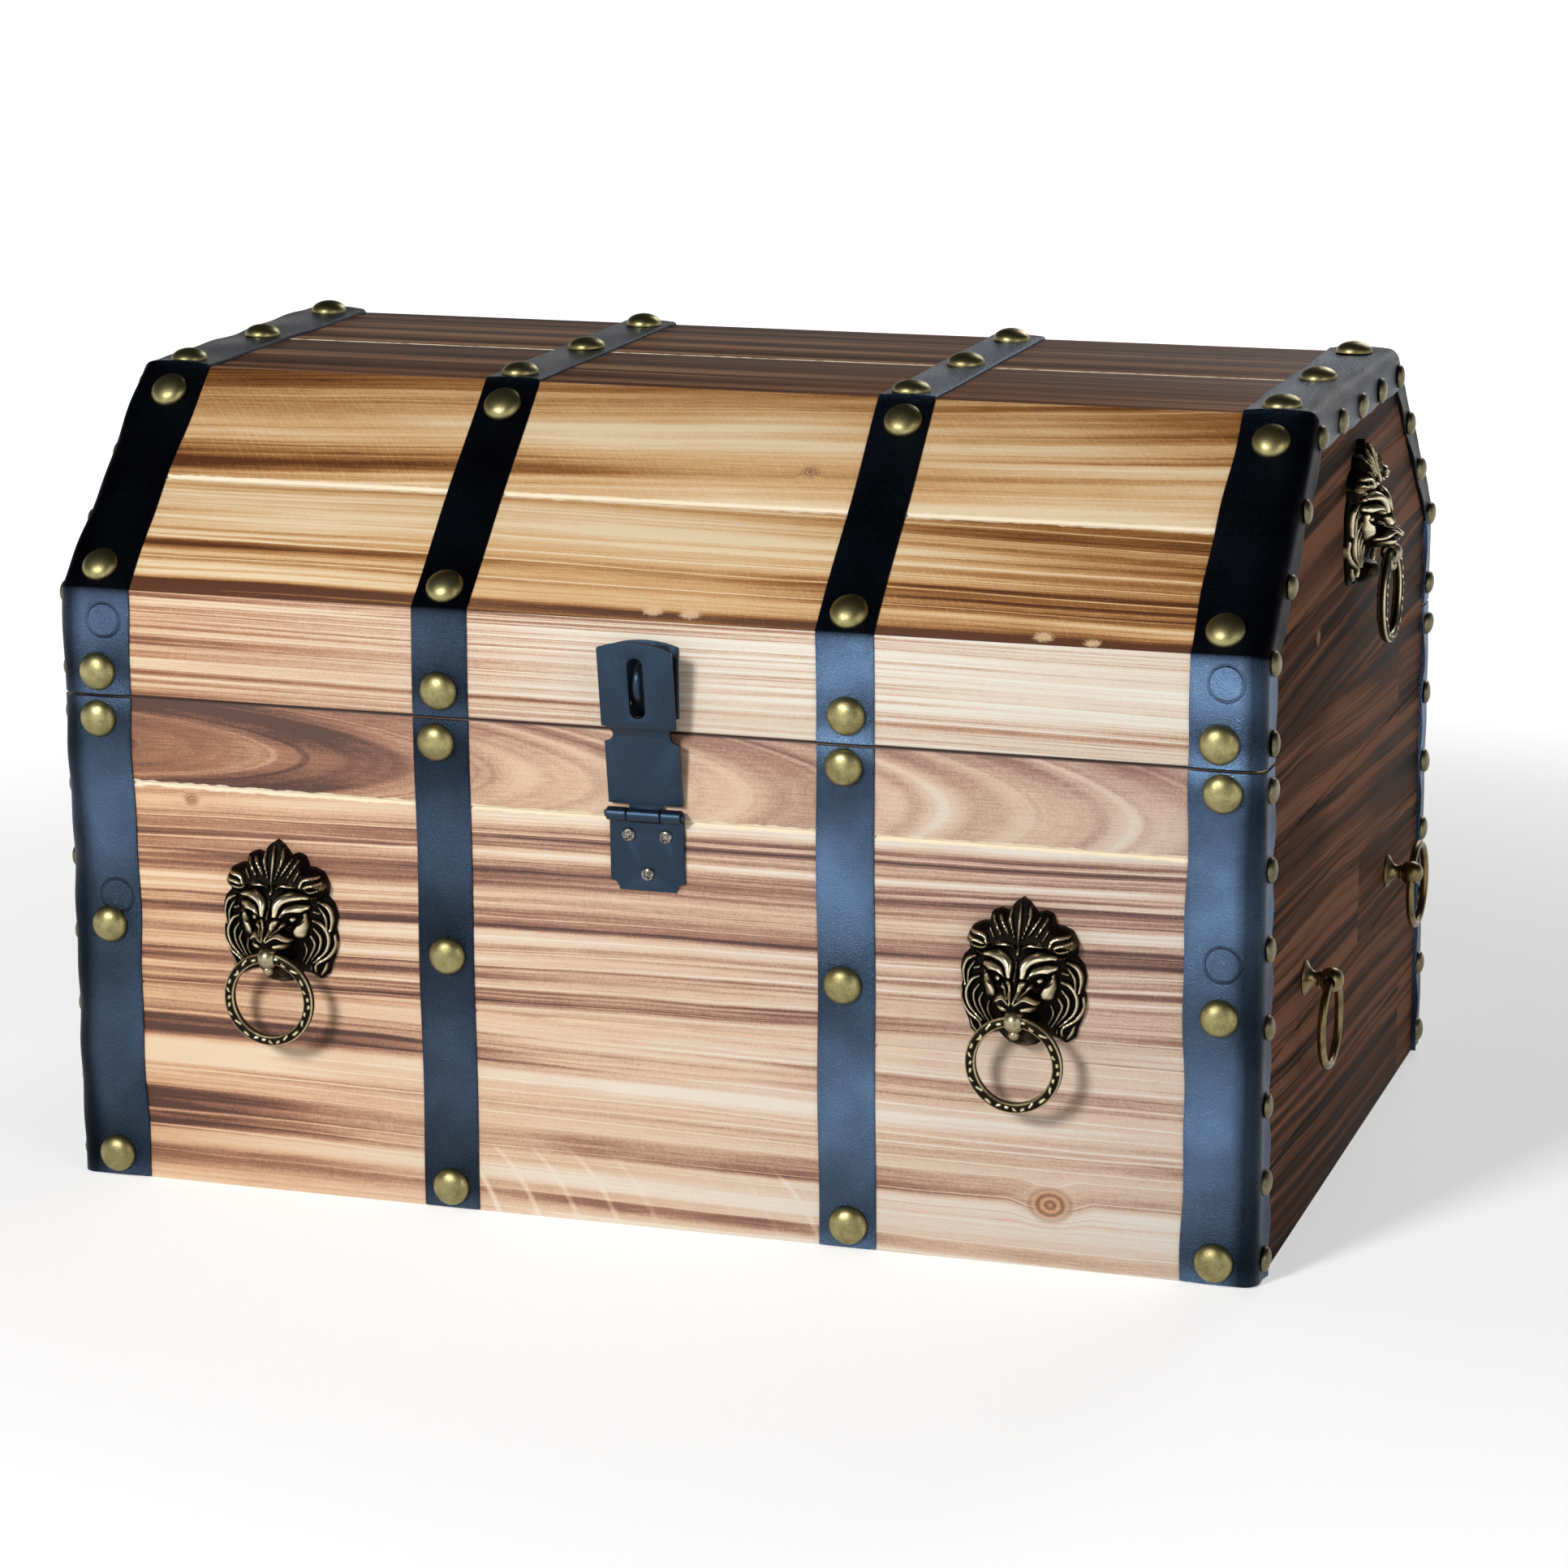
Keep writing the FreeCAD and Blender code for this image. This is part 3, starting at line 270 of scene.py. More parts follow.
def islands(node):
    """The separate solids of a CAD node, each as an array of its points in millimetres."""
    work = copied(node)
    left = set(work.verts)
    found = []
    while left:
        group = [left.pop()]
        for vert in group:
            for edge in vert.link_edges:
                other = edge.other_vert(vert)
                if other in left:
                    left.remove(other)
                    group.append(other)
        found.append(np.array([vert.co[:] for vert in group]) / MM)
    work.free()
    return sorted(found, key=lambda points: tuple(points.mean(0).round(2)))


def middle(points):
    """The middle of the box round some points."""
    return (points.min(0) + points.max(0)) / 2


# Materials: short calls on a node tree, each giving a socket or a number to reckon with


def colour(red, green, blue):
    """A colour as it shows on a screen, 0 to 255, in the renderer's linear values."""
    def linear(value):
        value /= 255
        return value / 12.92 if value <= 0.04045 else ((value + 0.055) / 1.055) ** 2.4
    return (linear(red), linear(green), linear(blue), 1.0)


class Number:
    """A number on a node tree."""

    def __init__(self, paint, socket):
        self.paint, self.socket = paint, socket

    def __add__(self, other):
        return self.paint.math("ADD", self, other)

    def __sub__(self, other):
        return self.paint.math("SUBTRACT", self, other)

    def __rsub__(self, other):
        return self.paint.math("SUBTRACT", other, self)

    def __mul__(self, other):
        return self.paint.math("MULTIPLY", self, other)

    def __truediv__(self, other):
        return self.paint.math("DIVIDE", self, other)

    def __abs__(self):
        return self.paint.math("ABSOLUTE", self)


SHADER_INPUTS = {"colour": "Base Color", "roughness": "Roughness", "metallic": "Metallic", "normal": "Normal",
                 "ior": "IOR", "specular": "Specular IOR Level", "tint": "Specular Tint"}


class Paint:
    """A material or a world, with the nodes that it is made of."""

    def __init__(self, name, kind="materials"):
        self.owner = getattr(bpy.data, kind).new(name)
        self.owner.use_nodes = True
        self.tree = self.owner.node_tree
        self.tree.nodes.clear()

    def add(self, kind, inputs=(), **settings):
        node = self.tree.nodes.new(kind)
        for key, value in settings.items():
            setattr(node, key, value)
        for key, value in dict(inputs).items():
            self.plug(node.inputs[key], value)
        return node

    def plug(self, socket, value):
        if isinstance(value, Number):
            value = value.socket
        if isinstance(value, bpy.types.NodeSocket):
            self.tree.links.new(value, socket)
        elif value is not None:
            socket.default_value = value

    def number(self, key, kind, inputs=(), **settings):
        return Number(self, self.add(kind, inputs, **settings).outputs[key])

    def math(self, operation, a, b=None, c=None):
        return self.number(0, "ShaderNodeMath", {0: a, 1: b, 2: c}, operation=operation)

    def smooth(self, value, low, high, start=0.0, end=1.0):
        inputs = {"Value": value, "From Min": low, "From Max": high, "To Min": start, "To Max": end}
        return self.number("Result", "ShaderNodeMapRange", inputs, interpolation_type="SMOOTHSTEP")

    def place(self):
        """The point on the object, in millimetres."""
        where = self.add("ShaderNodeTexCoord").outputs["Object"]
        return self.add("ShaderNodeVectorMath", {0: where, "Scale": 1 / MM}, operation="SCALE").outputs[0]

    def measure(self, operation, vector, other=None):
        return self.number("Value", "ShaderNodeVectorMath", {0: vector, 1: other}, operation=operation)

    def vector(self, x, y, z):
        return self.add("ShaderNodeCombineXYZ", {0: x, 1: y, 2: z}).outputs[0]

    def noise(self, vector, scale=1.0, detail=2.0, roughness=0.5):
        inputs = {"Vector": vector, "Scale": scale, "Detail": detail, "Roughness": roughness}
        return self.number("Fac", "ShaderNodeTexNoise", inputs)

    def chance(self, value):
        return self.number("Value", "ShaderNodeTexWhiteNoise", {"W": value}, noise_dimensions="1D")

    def attribute(self, name):
        return self.number("Fac", "ShaderNodeAttribute", attribute_name=name)

    def ramp(self, value, stops):
        node = self.add("ShaderNodeValToRGB", {"Fac": value})
        band = node.color_ramp
        band.elements[0].position, band.elements[0].color = stops[0]
        band.elements[1].position, band.elements[1].color = stops[-1]
        for where, tint in stops[1:-1]:
            band.elements.new(where).color = tint
        return node.outputs["Color"]

    def levels(self, value, stops):
        """A value that follows (where, level) pairs."""
        return Number(self, self.ramp(value, [(where, (level, level, level, 1.0)) for where, level in stops]))

    def mix(self, share, a, b, blend="MIX"):
        node = self.add("ShaderNodeMix", data_type="RGBA", blend_type=blend)
        for socket, value in zip((node.inputs[0], node.inputs[6], node.inputs[7]), (share, a, b)):
            self.plug(socket, value)
        return node.outputs[2]

    def bump(self, height, distance, strength):
        inputs = {"Height": height, "Distance": distance * MM, "Strength": strength}
        return self.add("ShaderNodeBump", inputs).outputs[0]

    def finish(self, **inputs):
        named = {SHADER_INPUTS[key]: value for key, value in inputs.items()}
        shader = self.add("ShaderNodeBsdfPrincipled", named)
        output = self.add("ShaderNodeOutputMaterial", {"Surface": shader.outputs[0]})
        self.tree.nodes.active = output
        return self.owner


# Torched pine


# Tones from pale over middle and brown to dark, and how burnt the wood is at each
BASE_TONES = (colour(240, 227, 208), colour(224, 192, 164), colour(160, 118, 98), colour(86, 60, 52))
RAIL_TONES = (colour(238, 231, 216), colour(226, 204, 182), colour(184, 142, 114), colour(124, 86, 68))
SLOPE_TONES = (colour(240, 216, 178), colour(217, 173, 119), colour(160, 108, 58), colour(90, 50, 24))
TOP_TONES = (colour(172, 132, 102), colour(120, 85, 64), colour(84, 58, 43), colour(50, 36, 28))
END_TONES = (colour(146, 103, 80), colour(99, 70, 56), colour(63, 46, 38), colour(37, 29, 25))
RAW_TONES = (colour(238, 220, 186), colour(226, 196, 152), colour(206, 168, 120), colour(176, 134, 90))
BURNT_STOPS = (0.0, 0.4, 0.72, 1.0)
RAW_STOPS = (0.0, 0.35, 0.65, 1.0)
JOINT_TONE = colour(244, 228, 200)
PUTTY_TONE = colour(226, 190, 150)
SEAM_TONE = colour(58, 38, 28)
KNOT_TONES = (colour(206, 160, 120), colour(128, 86, 60))
EVEN = [(0.0, 0.5), (1.0, 0.5)]
# The cast of the front boards along the chest: amber at the left, mauve or pale at the right
AMBER_TO_MAUVE = [(0.0, (1.0, 0.84, 0.66, 1.0)), (0.4, (1.0, 0.98, 0.96, 1.0)), (1.0, (0.87, 0.92, 1.0, 1.0))]
AMBER_TO_PALE = AMBER_TO_MAUVE[:2] + [(1.0, (0.98, 1.0, 1.0, 1.0))]
# Knots and putty spots are drawn out along the grain: their width as a share of their length
KNOT_SQUEEZE = 0.8
SPOT_SQUEEZE = 0.55


def pine(name, board, tones, seed, pith=(-300, 40), drift=0.0, tilt=0.0, wander=3.0, strong=1.0, coarse=1.0,
         reach=(0, 1), along_tone=EVEN, across_tone=EVEN, fade=EVEN, cast=None, lines=(), seam=None, knots=(),
         spots=(), arcs=None, staves=None, shares=(2.4, 1.5, 0.5), threads=0.3, ior=1.4):
    """Torched pine: straight or flamed bands of burnt grain about a pith, in (across, behind) the face.

    The tones along and across the board are (share, level) pairs, where 0.5 is neither darker nor paler, and
    reach is where the board's own width starts and ends. The fade of the bands along the board is given the
    same way, where 0.5 is their usual strength. The shares are those of the wide, narrow and thin bands.
    Lines are pale joints as (across, half width), knots and putty spots are (along, across, radius), staves
    are (width, length), and arcs are marks of a saw as (spacing, radius, middle across, start, end, top,
    depth). Deeper than 1 to 2 mm the wood is raw.
    """
    paint = Paint(name)
    point = paint.place()
    along = paint.measure("DOT_PRODUCT", point, board.along)
    across = paint.measure("DOT_PRODUCT", point, board.across) - float(board.origin @ board.across)
    inward = paint.measure("DOT_PRODUCT", point, board.inward) - float(board.origin @ board.inward)

    def stretched(along_size, across_size, part=0.0, over=across):
        return paint.vector(along * (1 / along_size) + (seed + part), over * (1 / across_size) + seed * 0.7,
                            inward * (1 / across_size))

    def length(a, b):
        return paint.math("SQRT", a * a + b * b)

    def swing(value, share):
        """A value from 0 to 1 as a swing about zero."""
        return value * share - 0.5 * share

    def away(spot_along, spot_across, squeeze):
        """How far a place is from a spot that is drawn out along the grain."""
        return length(along * squeeze - squeeze * spot_along, across - spot_across)

    def thread(part, half):
        """Thin lines along the grain, at uneven distances."""
        level = paint.noise(stretched(1500, 8.0, part, grain), detail=0)
        return paint.smooth(abs(level - 0.5), half, half * 0.3)

    side = along * drift + (across - pith[0])
    side = side + swing(paint.noise(stretched(260, 70), detail=1), 2 * wander)
    side = side + swing(paint.noise(stretched(60, 14)), 0.5 * wander)
    if staves:
        stave_wide, stave_long = staves
        row = paint.math("FLOOR", across / stave_wide)
        shift = paint.chance(row + seed) * stave_long + along
        cell = paint.math("FLOOR", shift / stave_long)
        label = paint.math("MULTIPLY_ADD", row, 7.31, paint.math("MULTIPLY_ADD", cell, 3.17, seed))
        side = paint.chance(label + 0.5) * 200 + side
    grain = length(side, along * tilt + (pith[1] - inward))
    for knot_along, knot_across, radius in knots:
        far = away(knot_along, knot_across, KNOT_SQUEEZE)
        grain = grain + paint.smooth(far, radius * 2.6, radius, 0.0, radius * 0.5)
    wide = paint.noise(stretched(900, 10 * coarse, 0.0, grain), detail=1)
    narrow = paint.noise(stretched(520, 3.0 * coarse, 3.0, grain))
    thin = paint.noise(stretched(300, 0.9 * coarse, 7.0, grain), detail=1)
    fibre = paint.noise(stretched(16, 0.4), roughness=0.7)
    speck = paint.noise(point, 1.3, roughness=0.7)
    patch = paint.noise(stretched(130, 24))
    along_share = along * (0.5 / HALF_LENGTH) + 0.5
    across_share = (across - reach[0]) / (reach[1] - reach[0])
    bands = swing(wide, shares[0]) + swing(narrow, shares[1]) + swing(thin, shares[2])
    bands = bands * paint.smooth(patch, 0.3, 0.68, 0.9 * strong, 2.8 * strong)
    bands = bands * paint.levels(along_share, fade)
    bands = bands - thread(11.0, 0.022) * threads + thread(15.0, 0.018) * 0.14
    burn = bands + 0.42 + swing(fibre, 0.42) + swing(speck, 0.3)
    burn = burn + swing(paint.levels(along_share, along_tone), 1.0)
    burn = burn + swing(paint.levels(across_share, across_tone), 1.0)
    if staves:
        burn = burn + swing(paint.chance(label), 0.5)
    if arcs:
        spacing, radius, under, low, high, top, depth = arcs
        drop = across - under
        count = (along - paint.math("SQRT", radius ** 2 - drop * drop)) / spacing
        mark = paint.smooth(abs(paint.math("FRACT", count) - 0.5), 0.12, 0.0)
        room = paint.smooth(along, low, low + 20) * paint.smooth(along, high, high - 20)
        room = room * paint.smooth(across, top, top - 8) * paint.chance(paint.math("FLOOR", count))
        burn = burn - mark * room * depth
    tone = paint.ramp(burn, list(zip(BURNT_STOPS, tones)))
    if cast:
        tone = paint.mix(1.0, tone, paint.ramp(along_share, cast), "MULTIPLY")
    for knot_along, knot_across, radius in knots:
        far = away(knot_along, knot_across, KNOT_SQUEEZE) + (speck * 1.2 - 0.6)
        rings = paint.smooth(paint.math("PINGPONG", far, radius * 0.24), 0, radius * 0.24)
        heart = paint.mix(rings, *KNOT_TONES)
        tone = paint.mix(paint.smooth(far, radius * 1.6, radius * 0.7, 0.0, 0.9), tone, heart)
    for spot_along, spot_across, radius in spots:
        far = away(spot_along, spot_across, SPOT_SQUEEZE) + (speck * 2.4 - 1.2)
        tone = paint.mix(paint.smooth(far, radius, radius * 0.4, 0.0, 0.85), tone, PUTTY_TONE)
    for edge, half in lines:
        bead = paint.noise(stretched(5, 30), detail=1)
        gap = abs(across - edge) + swing(bead, -1.6) + swing(fibre, 0.6)
        tone = paint.mix(paint.smooth(gap, half + 0.4, half - 0.2), tone, JOINT_TONE)
    if seam is not None:
        tone = paint.mix(paint.smooth(abs(across - seam), 1.0, 0.3), tone, SEAM_TONE)
    raw = paint.ramp(swing(narrow, 1.0) + 0.4 + swing(fibre, 0.5), list(zip(RAW_STOPS, RAW_TONES)))
    tone = paint.mix(paint.smooth(inward, 0.9, 1.7), tone, raw)
    return paint.finish(colour=tone, roughness=paint.smooth(burn, 0.0, 1.0, 0.6, 0.48), ior=ior,
                        normal=paint.bump(narrow * 0.5 + fibre * 0.6, 0.2, 0.4))


def wall_board(side, level):
    return Board((0, side * HALF_DEPTH, level), (1, 0, 0), (0, 0, 1), (0, -side, 0))


def slope_board(side):
    up = np.array((0, -side * SLOPE_RUN, SLOPE_RISE)) / SLOPE_LENGTH
    inward = np.array((0, -side * SLOPE_RISE, -SLOPE_RUN)) / SLOPE_LENGTH
    return Board((0, side * HALF_DEPTH, SHOULDER), (1, 0, 0), up, inward)


TOP_BOARD = Board((0, 0, CROWN), (1, 0, 0), (0, 1, 0), (0, 0, -1))
FLOOR_BOARD = Board((0, 0, 0), (1, 0, 0), (0, 1, 0), (0, 0, 1))
BOARD_EDGE = 0.35
SEEDS = {"front": 3.0, "back": 31.0}
MIDDLE_HIGH = UPPER_JOINT - LOWER_JOINT
UPPER_HIGH = PARTING - UPPER_JOINT
RAIL_HIGH = SHOULDER - PARTING


def long_boards(side, face):
    """The boards of the front or the back, from the foot to the top."""
    def cut(node, part, board, tones, shift, **look):
        material = pine(f"pine_{face}_{part}", board, tones, SEEDS[face] + shift, **look)
        softened(node, BOARD_EDGE, material, board=board)

    cut(f"base_{face}_board_lower", "lower", wall_board(side, 0), BASE_TONES, 0.0, drift=0.012, coarse=1.8,
        strong=0.95, reach=(0, LOWER_JOINT), cast=AMBER_TO_MAUVE,
        fade=[(0.0, 0.62), (0.4, 0.5), (0.7, 0.34), (1.0, 0.3)],
        along_tone=[(0.0, 0.58), (0.22, 0.55), (0.42, 0.47), (0.7, 0.42), (1.0, 0.4)],
        across_tone=[(0.0, 0.5), (0.1, 0.46), (0.3, 0.38), (0.45, 0.46), (0.6, 0.64), (0.85, 0.64),
                     (1.0, 0.54)],
        knots=[(146, 22.6, 5.0)], arcs=(15, 60, -20, -85, 75, 28, 0.4))
    cut(f"base_{face}_board_middle", "middle", wall_board(side, LOWER_JOINT), BASE_TONES, 1.3, drift=-0.012,
        strong=0.9, shares=(2.0, 1.8, 0.6), reach=(0, MIDDLE_HIGH), cast=AMBER_TO_MAUVE,
        along_tone=[(0.0, 0.64), (0.5, 0.54), (0.8, 0.5), (1.0, 0.5)],
        across_tone=[(0.0, 0.5), (0.2, 0.5), (0.5, 0.6), (0.8, 0.58), (1.0, 0.56)],
        lines=[(MIDDLE_HIGH, 0.9)], knots=[(-170, 69, 1.8)])
    cut(f"base_{face}_board_upper", "upper", wall_board(side, UPPER_JOINT), BASE_TONES, 2.9, pith=(12, 30),
        drift=0.01, tilt=0.12, coarse=1.7, strong=0.75, shares=(2.6, 1.2, 0.6), threads=0.12,
        reach=(0, UPPER_HIGH), cast=AMBER_TO_MAUVE,
        along_tone=[(0.0, 0.74), (0.3, 0.66), (0.5, 0.58), (0.7, 0.6), (1.0, 0.56)],
        across_tone=[(0.0, 0.48), (0.5, 0.5), (0.75, 0.58), (1.0, 0.66)], lines=[(0, 0.9)], seam=UPPER_HIGH)
    cut(f"lid_{face}_rail", "rail", wall_board(side, PARTING), RAIL_TONES, 4.1, drift=0.006, wander=1.5,
        coarse=0.6, strong=1.05, shares=(1.2, 1.8, 0.7), reach=(0, RAIL_HIGH), cast=AMBER_TO_PALE,
        along_tone=[(0.0, 0.72), (0.35, 0.58), (0.5, 0.38), (0.75, 0.3), (1.0, 0.34)],
        across_tone=[(0.0, 0.5), (0.5, 0.48), (1.0, 0.56)], seam=0)
    cut(f"lid_{face}_slope_lower", "slope_lower", slope_board(side), SLOPE_TONES, 5.7, drift=0.01, coarse=1.1,
        strong=1.05, threads=0.42, reach=(0, HALF_SLOPE),
        along_tone=[(0.0, 0.6), (0.3, 0.52), (0.55, 0.45), (0.75, 0.72), (1.0, 0.88)],
        across_tone=[(0.0, 0.98), (0.06, 0.8), (0.16, 0.56), (0.6, 0.46), (1.0, 0.44)],
        lines=[(HALF_SLOPE, 1.1)], spots=[(4, 4.3, 2.6), (17.5, 3.8, 2.6), (142, 3.1, 2.4), (159, 1.7, 2.0)],
        arcs=(2.8, 220, -90, 0, 217, 40, 0.08))
    cut(f"lid_{face}_slope_upper", "slope_upper", slope_board(side), SLOPE_TONES, 7.2, pith=(150, 40),
        drift=-0.01, tilt=0.05, coarse=1.7, strong=1.05, shares=(2.6, 1.3, 0.4), threads=0.14,
        reach=(HALF_SLOPE, SLOPE_LENGTH),
        along_tone=[(0.0, 0.7), (0.35, 0.6), (0.55, 0.52), (0.8, 0.72), (1.0, 0.82)],
        across_tone=[(0.0, 0.46), (0.5, 0.46), (0.8, 0.6), (1.0, 0.68)],
        lines=[(HALF_SLOPE, 1.1)], knots=[(46, 66.8, 2.2)], arcs=(3.1, 240, -70, -217, 217, 98, 0.1))
    cut(f"lid_top_{face}_board", "top", TOP_BOARD, TOP_TONES, 8.8, drift=0.015, strong=0.8, lines=[(0, 0.8)],
        ior=1.15, knots=[(135, side * -55, 2.0)])


def end_boards(side, hand):
    board = Board((side * HALF_LENGTH, 0, 0), (0, 1, 0), (0, 0, 1), (-side, 0, 0))
    look = pine(f"pine_{hand}_end", board, END_TONES, 12.0 + side, drift=0.05, strong=1.15, wander=6,
                staves=(36.5, 520), ior=1.05, reach=(0, PARTING),
                across_tone=[(0.0, 0.5), (0.18, 0.46), (0.22, 0.66), (0.39, 0.66), (0.42, 0.46), (1.0, 0.46)])
    softened(f"base_{hand}_end", BOARD_EDGE, look)
    look = pine(f"pine_{hand}_lid_end", board, END_TONES, 17.0 + side, drift=-0.05, strong=1.05, wander=6,
                staves=(36.5, 640), ior=1.05, knots=[(-62, 207, 2.2)])
    softened(f"lid_{hand}_end", BOARD_EDGE, look)


def boards():
    for side, face in FACES:
        long_boards(side, face)
    for side, hand in SIDES:
        end_boards(side, hand)
    look = pine("plywood", FLOOR_BOARD, RAW_TONES, 41.0, pith=(10, 60), tilt=0.02, coarse=2.0, strong=0.7)
    softened("base_bottom_panel", BOARD_EDGE, look)


# Vinyl straps


# Faint rings on the straps, where a nail's dome was pressed: x, y and z, and their radius
IMPRINTS = [(-201, -149, 207), (-200, -149, 106), (205, -149, 209), (205, -149, 113)]
IMPRINT_RADIUS = 6.2
# Painted sheen: how bright the end straps' reflection is painted at the left and at the right, and that of the
# straps between them
END_STRAP_PAINTED_SHEEN = {-1: 0.68, 1: 1.3}
MID_STRAP_PAINTED_SHEEN = (0.48, 1.35)
# The painted sheen on the corner straps grows from the foot to the head
CORNER_PAINTED_SHEEN = (0.8, 1.5)
# The painted sheen of straps under a nail and how much more they have between two, on the base and the lid's rails
BASE_PAINTED_SHEEN, BASE_PAINTED_SHEEN_MORE = 0.5, 0.75
RAIL_PAINTED_SHEEN, RAIL_PAINTED_SHEEN_MORE = 0.7, 1.0
# The painted sheen on the lid's slopes, nearly none, and on its top
SLOPE_PAINTED_SHEEN, TOP_PAINTED_SHEEN = 0.03, 0.42


def vinyl():
    paint = Paint("strap_vinyl")
    point = paint.place()
    fine = paint.noise(point, 2.6, 3.0, 0.6)
    broad = paint.noise(point, 0.03)
    pebble = paint.number("Distance", "ShaderNodeTexVoronoi", {"Vector": point, "Scale": 1.7})
    height = pebble * 0.7 + fine * 0.6
    for spot in IMPRINTS:
        groove = paint.smooth(abs(paint.measure("DISTANCE", point, spot) - IMPRINT_RADIUS), 0.7, 0.0)
        height = height - groove * 1.6
    tone = paint.ramp(broad, [(0.3, colour(2, 2, 3)), (0.75, colour(7, 9, 14))])
    rough = paint.smooth(fine + broad, 0.5, 1.5, 0.26, 0.4)
    # The reflection is scaled by the painted sheen that each point carries
    level = paint.attribute("painted_sheen") * paint.smooth(broad, 0.3, 0.7, 0.34, 0.62)
    # The bluish specular tint is a painted reflection of bluish light
    return paint.finish(colour=tone, roughness=rough, ior=2.3, specular=level, tint=(0.36, 0.6, 1.0, 1.0),
                        normal=paint.bump(height, 0.5, 0.9))


def swell(where, stops, amount):
    """Zero at each stop, and a smooth rise of that amount half way between two stops."""
    stops = np.sort(np.asarray(stops, float))
    before = np.clip(np.searchsorted(stops, where, side="right") - 1, 0, len(stops) - 2)
    share = np.clip((where - stops[before]) / (stops[before + 1] - stops[before]), 0, 1)
    return amount * np.sin(math.pi * share) ** 2


def on_path(path, length, x, out):
    """Points at a length along a path over the chest, at the given x and distances off the wood."""
    point, outward = path(length)
    return np.stack([x, point[0] + outward[0] * out, point[1] + outward[1] * out], axis=1)


def fold_section(bend):
    """The section of a strap folded round an edge: (over, out) from the wood's corner.

    Over runs past the end face and out stands off the long face. The first point and the last but one lie
    on the wood, and the last is inside it.
    """
    inner = -(END_STRAP_WIDE - STRAP)
    tip = -(FLANGE_WIDE - STRAP)
    hub = STRAP - bend
    section = [(inner, 0.0), (inner, STRAP * 0.7), (inner + 0.5, STRAP)]
    section += [(over, STRAP) for over in np.linspace(inner + 2.5, hub - 0.8, 9)]
    turns = np.linspace(0.15, 1.42, 8)
    section += [(hub + bend * math.sin(turn), hub + bend * math.cos(turn)) for turn in turns]
    section += [(STRAP, out) for out in np.linspace(hub - 0.8, tip + 1.5, 5)]
    section += [(STRAP, tip + 0.3), (STRAP * 0.7, tip), (0.0, tip), (hub - 1.0, hub - 1.0)]
    return np.array(section)


# How far a folded strap rises between its nails and between its tacks, and how wide its bend is
FACE_SWELL, EDGE_SWELL, FOLD_BEND = 1.1, 0.9, 4.6


def fold_sweep(path, side, where, nail_stops, tack_stops, painted_sheen_of, foot_flare):
    """A folded strap along a path, puckered between its nails and its tacks.

    Each point carries a painted sheen, with painted shade at the fold and under the nails.
    """
    loops, painted_sheen = [], []
    wave = dice.uniform(0, 6, 6)
    for length in where:
        bend = FOLD_BEND + 0.7 * math.sin(length / 19.0 + wave[4]) + 0.3 * math.sin(length / 8.0 + wave[5])
        section = fold_section(bend)
        inner, tip = section.min(0)
        over, out = section[:, 0].copy(), section[:, 1].copy()
        lifted = np.ones(len(section), bool)
        lifted[[0, -2, -1]] = False
        on_face = lifted & (section[:, 1] > STRAP - bend)
        on_flange = lifted & (section[:, 0] > STRAP - bend)
        face_swell = swell(length, nail_stops, FACE_SWELL) + 0.15 * math.sin(length / 7.0 + wave[0])
        edge_swell = swell(length, tack_stops, EDGE_SWELL) + 0.25 * math.sin(length / 11.0 + wave[1])
        edge_swell += foot_flare * math.exp(-length / 30.0)
        crown = np.sin(math.pi * np.clip((over - inner) / -inner, 0, 1)) ** 0.8
        near_edge = np.clip(1 + over / 9.0, 0, 1)
        near_fold = np.clip(1 + section[:, 1] / 5.0, 0, 1)
        near_tip = np.clip((tip + 4.5 - section[:, 1]) / 4.5, 0, 1)
        out[on_face] += (face_swell * crown + edge_swell * near_edge * 0.55)[on_face]
        over[on_flange] += (edge_swell * (near_fold * 0.35 + near_tip * 0.9))[on_flange]
        over[:3] += 0.5 * math.sin(length / 17.0 + wave[2]) + 0.25 * math.sin(length / 6.3 + wave[3])
        loops.append(on_path(path, length, side * (HALF_LENGTH + over), out))
        # Painted shade: the sheen is painted dull where the strap turns over the fold
        folded = np.clip((section[:, 0] + 2 * bend) / bend, 0, 1)
        flat = np.clip((STRAP - bend - section[:, 1]) / 2, 0, 1)
        painted_sheen.append(painted_sheen_of(length) * (1 - 0.8 * folded * (1 - 0.6 * flat)))
    return swept(loops), np.concatenate(painted_sheen)


# Points of a flat strap's section: where each lies across it, and its height as a share of the thickness
FLAT_SHARES = np.array([0, 0, 0.02, 0.12, 0.3, 0.5, 0.7, 0.88, 0.98, 1, 1])
FLAT_HEIGHTS = np.array([0, 0.65, 0.95, 1, 1, 1, 1, 1, 0.95, 0.65, 0])
FLAT_SWELL = 0.5


def flat_sweep(path, left, right, where, stops):
    """A flat strap along a path, its edges rolled and its middle raised between nails."""
    loops = []
    for length in where:
        sway = 0.25 * math.sin(length / 13.0 + left)
        out = STRAP * FLAT_HEIGHTS
        out[2:-2] += swell(length, stops, FLAT_SWELL) * np.sin(math.pi * FLAT_SHARES[2:-2])
        across = left + (right - left) * FLAT_SHARES
        across[:3] += sway
        across[-3:] += sway * 0.6
        loops.append(on_path(path, length, across, out))
    return swept(loops)


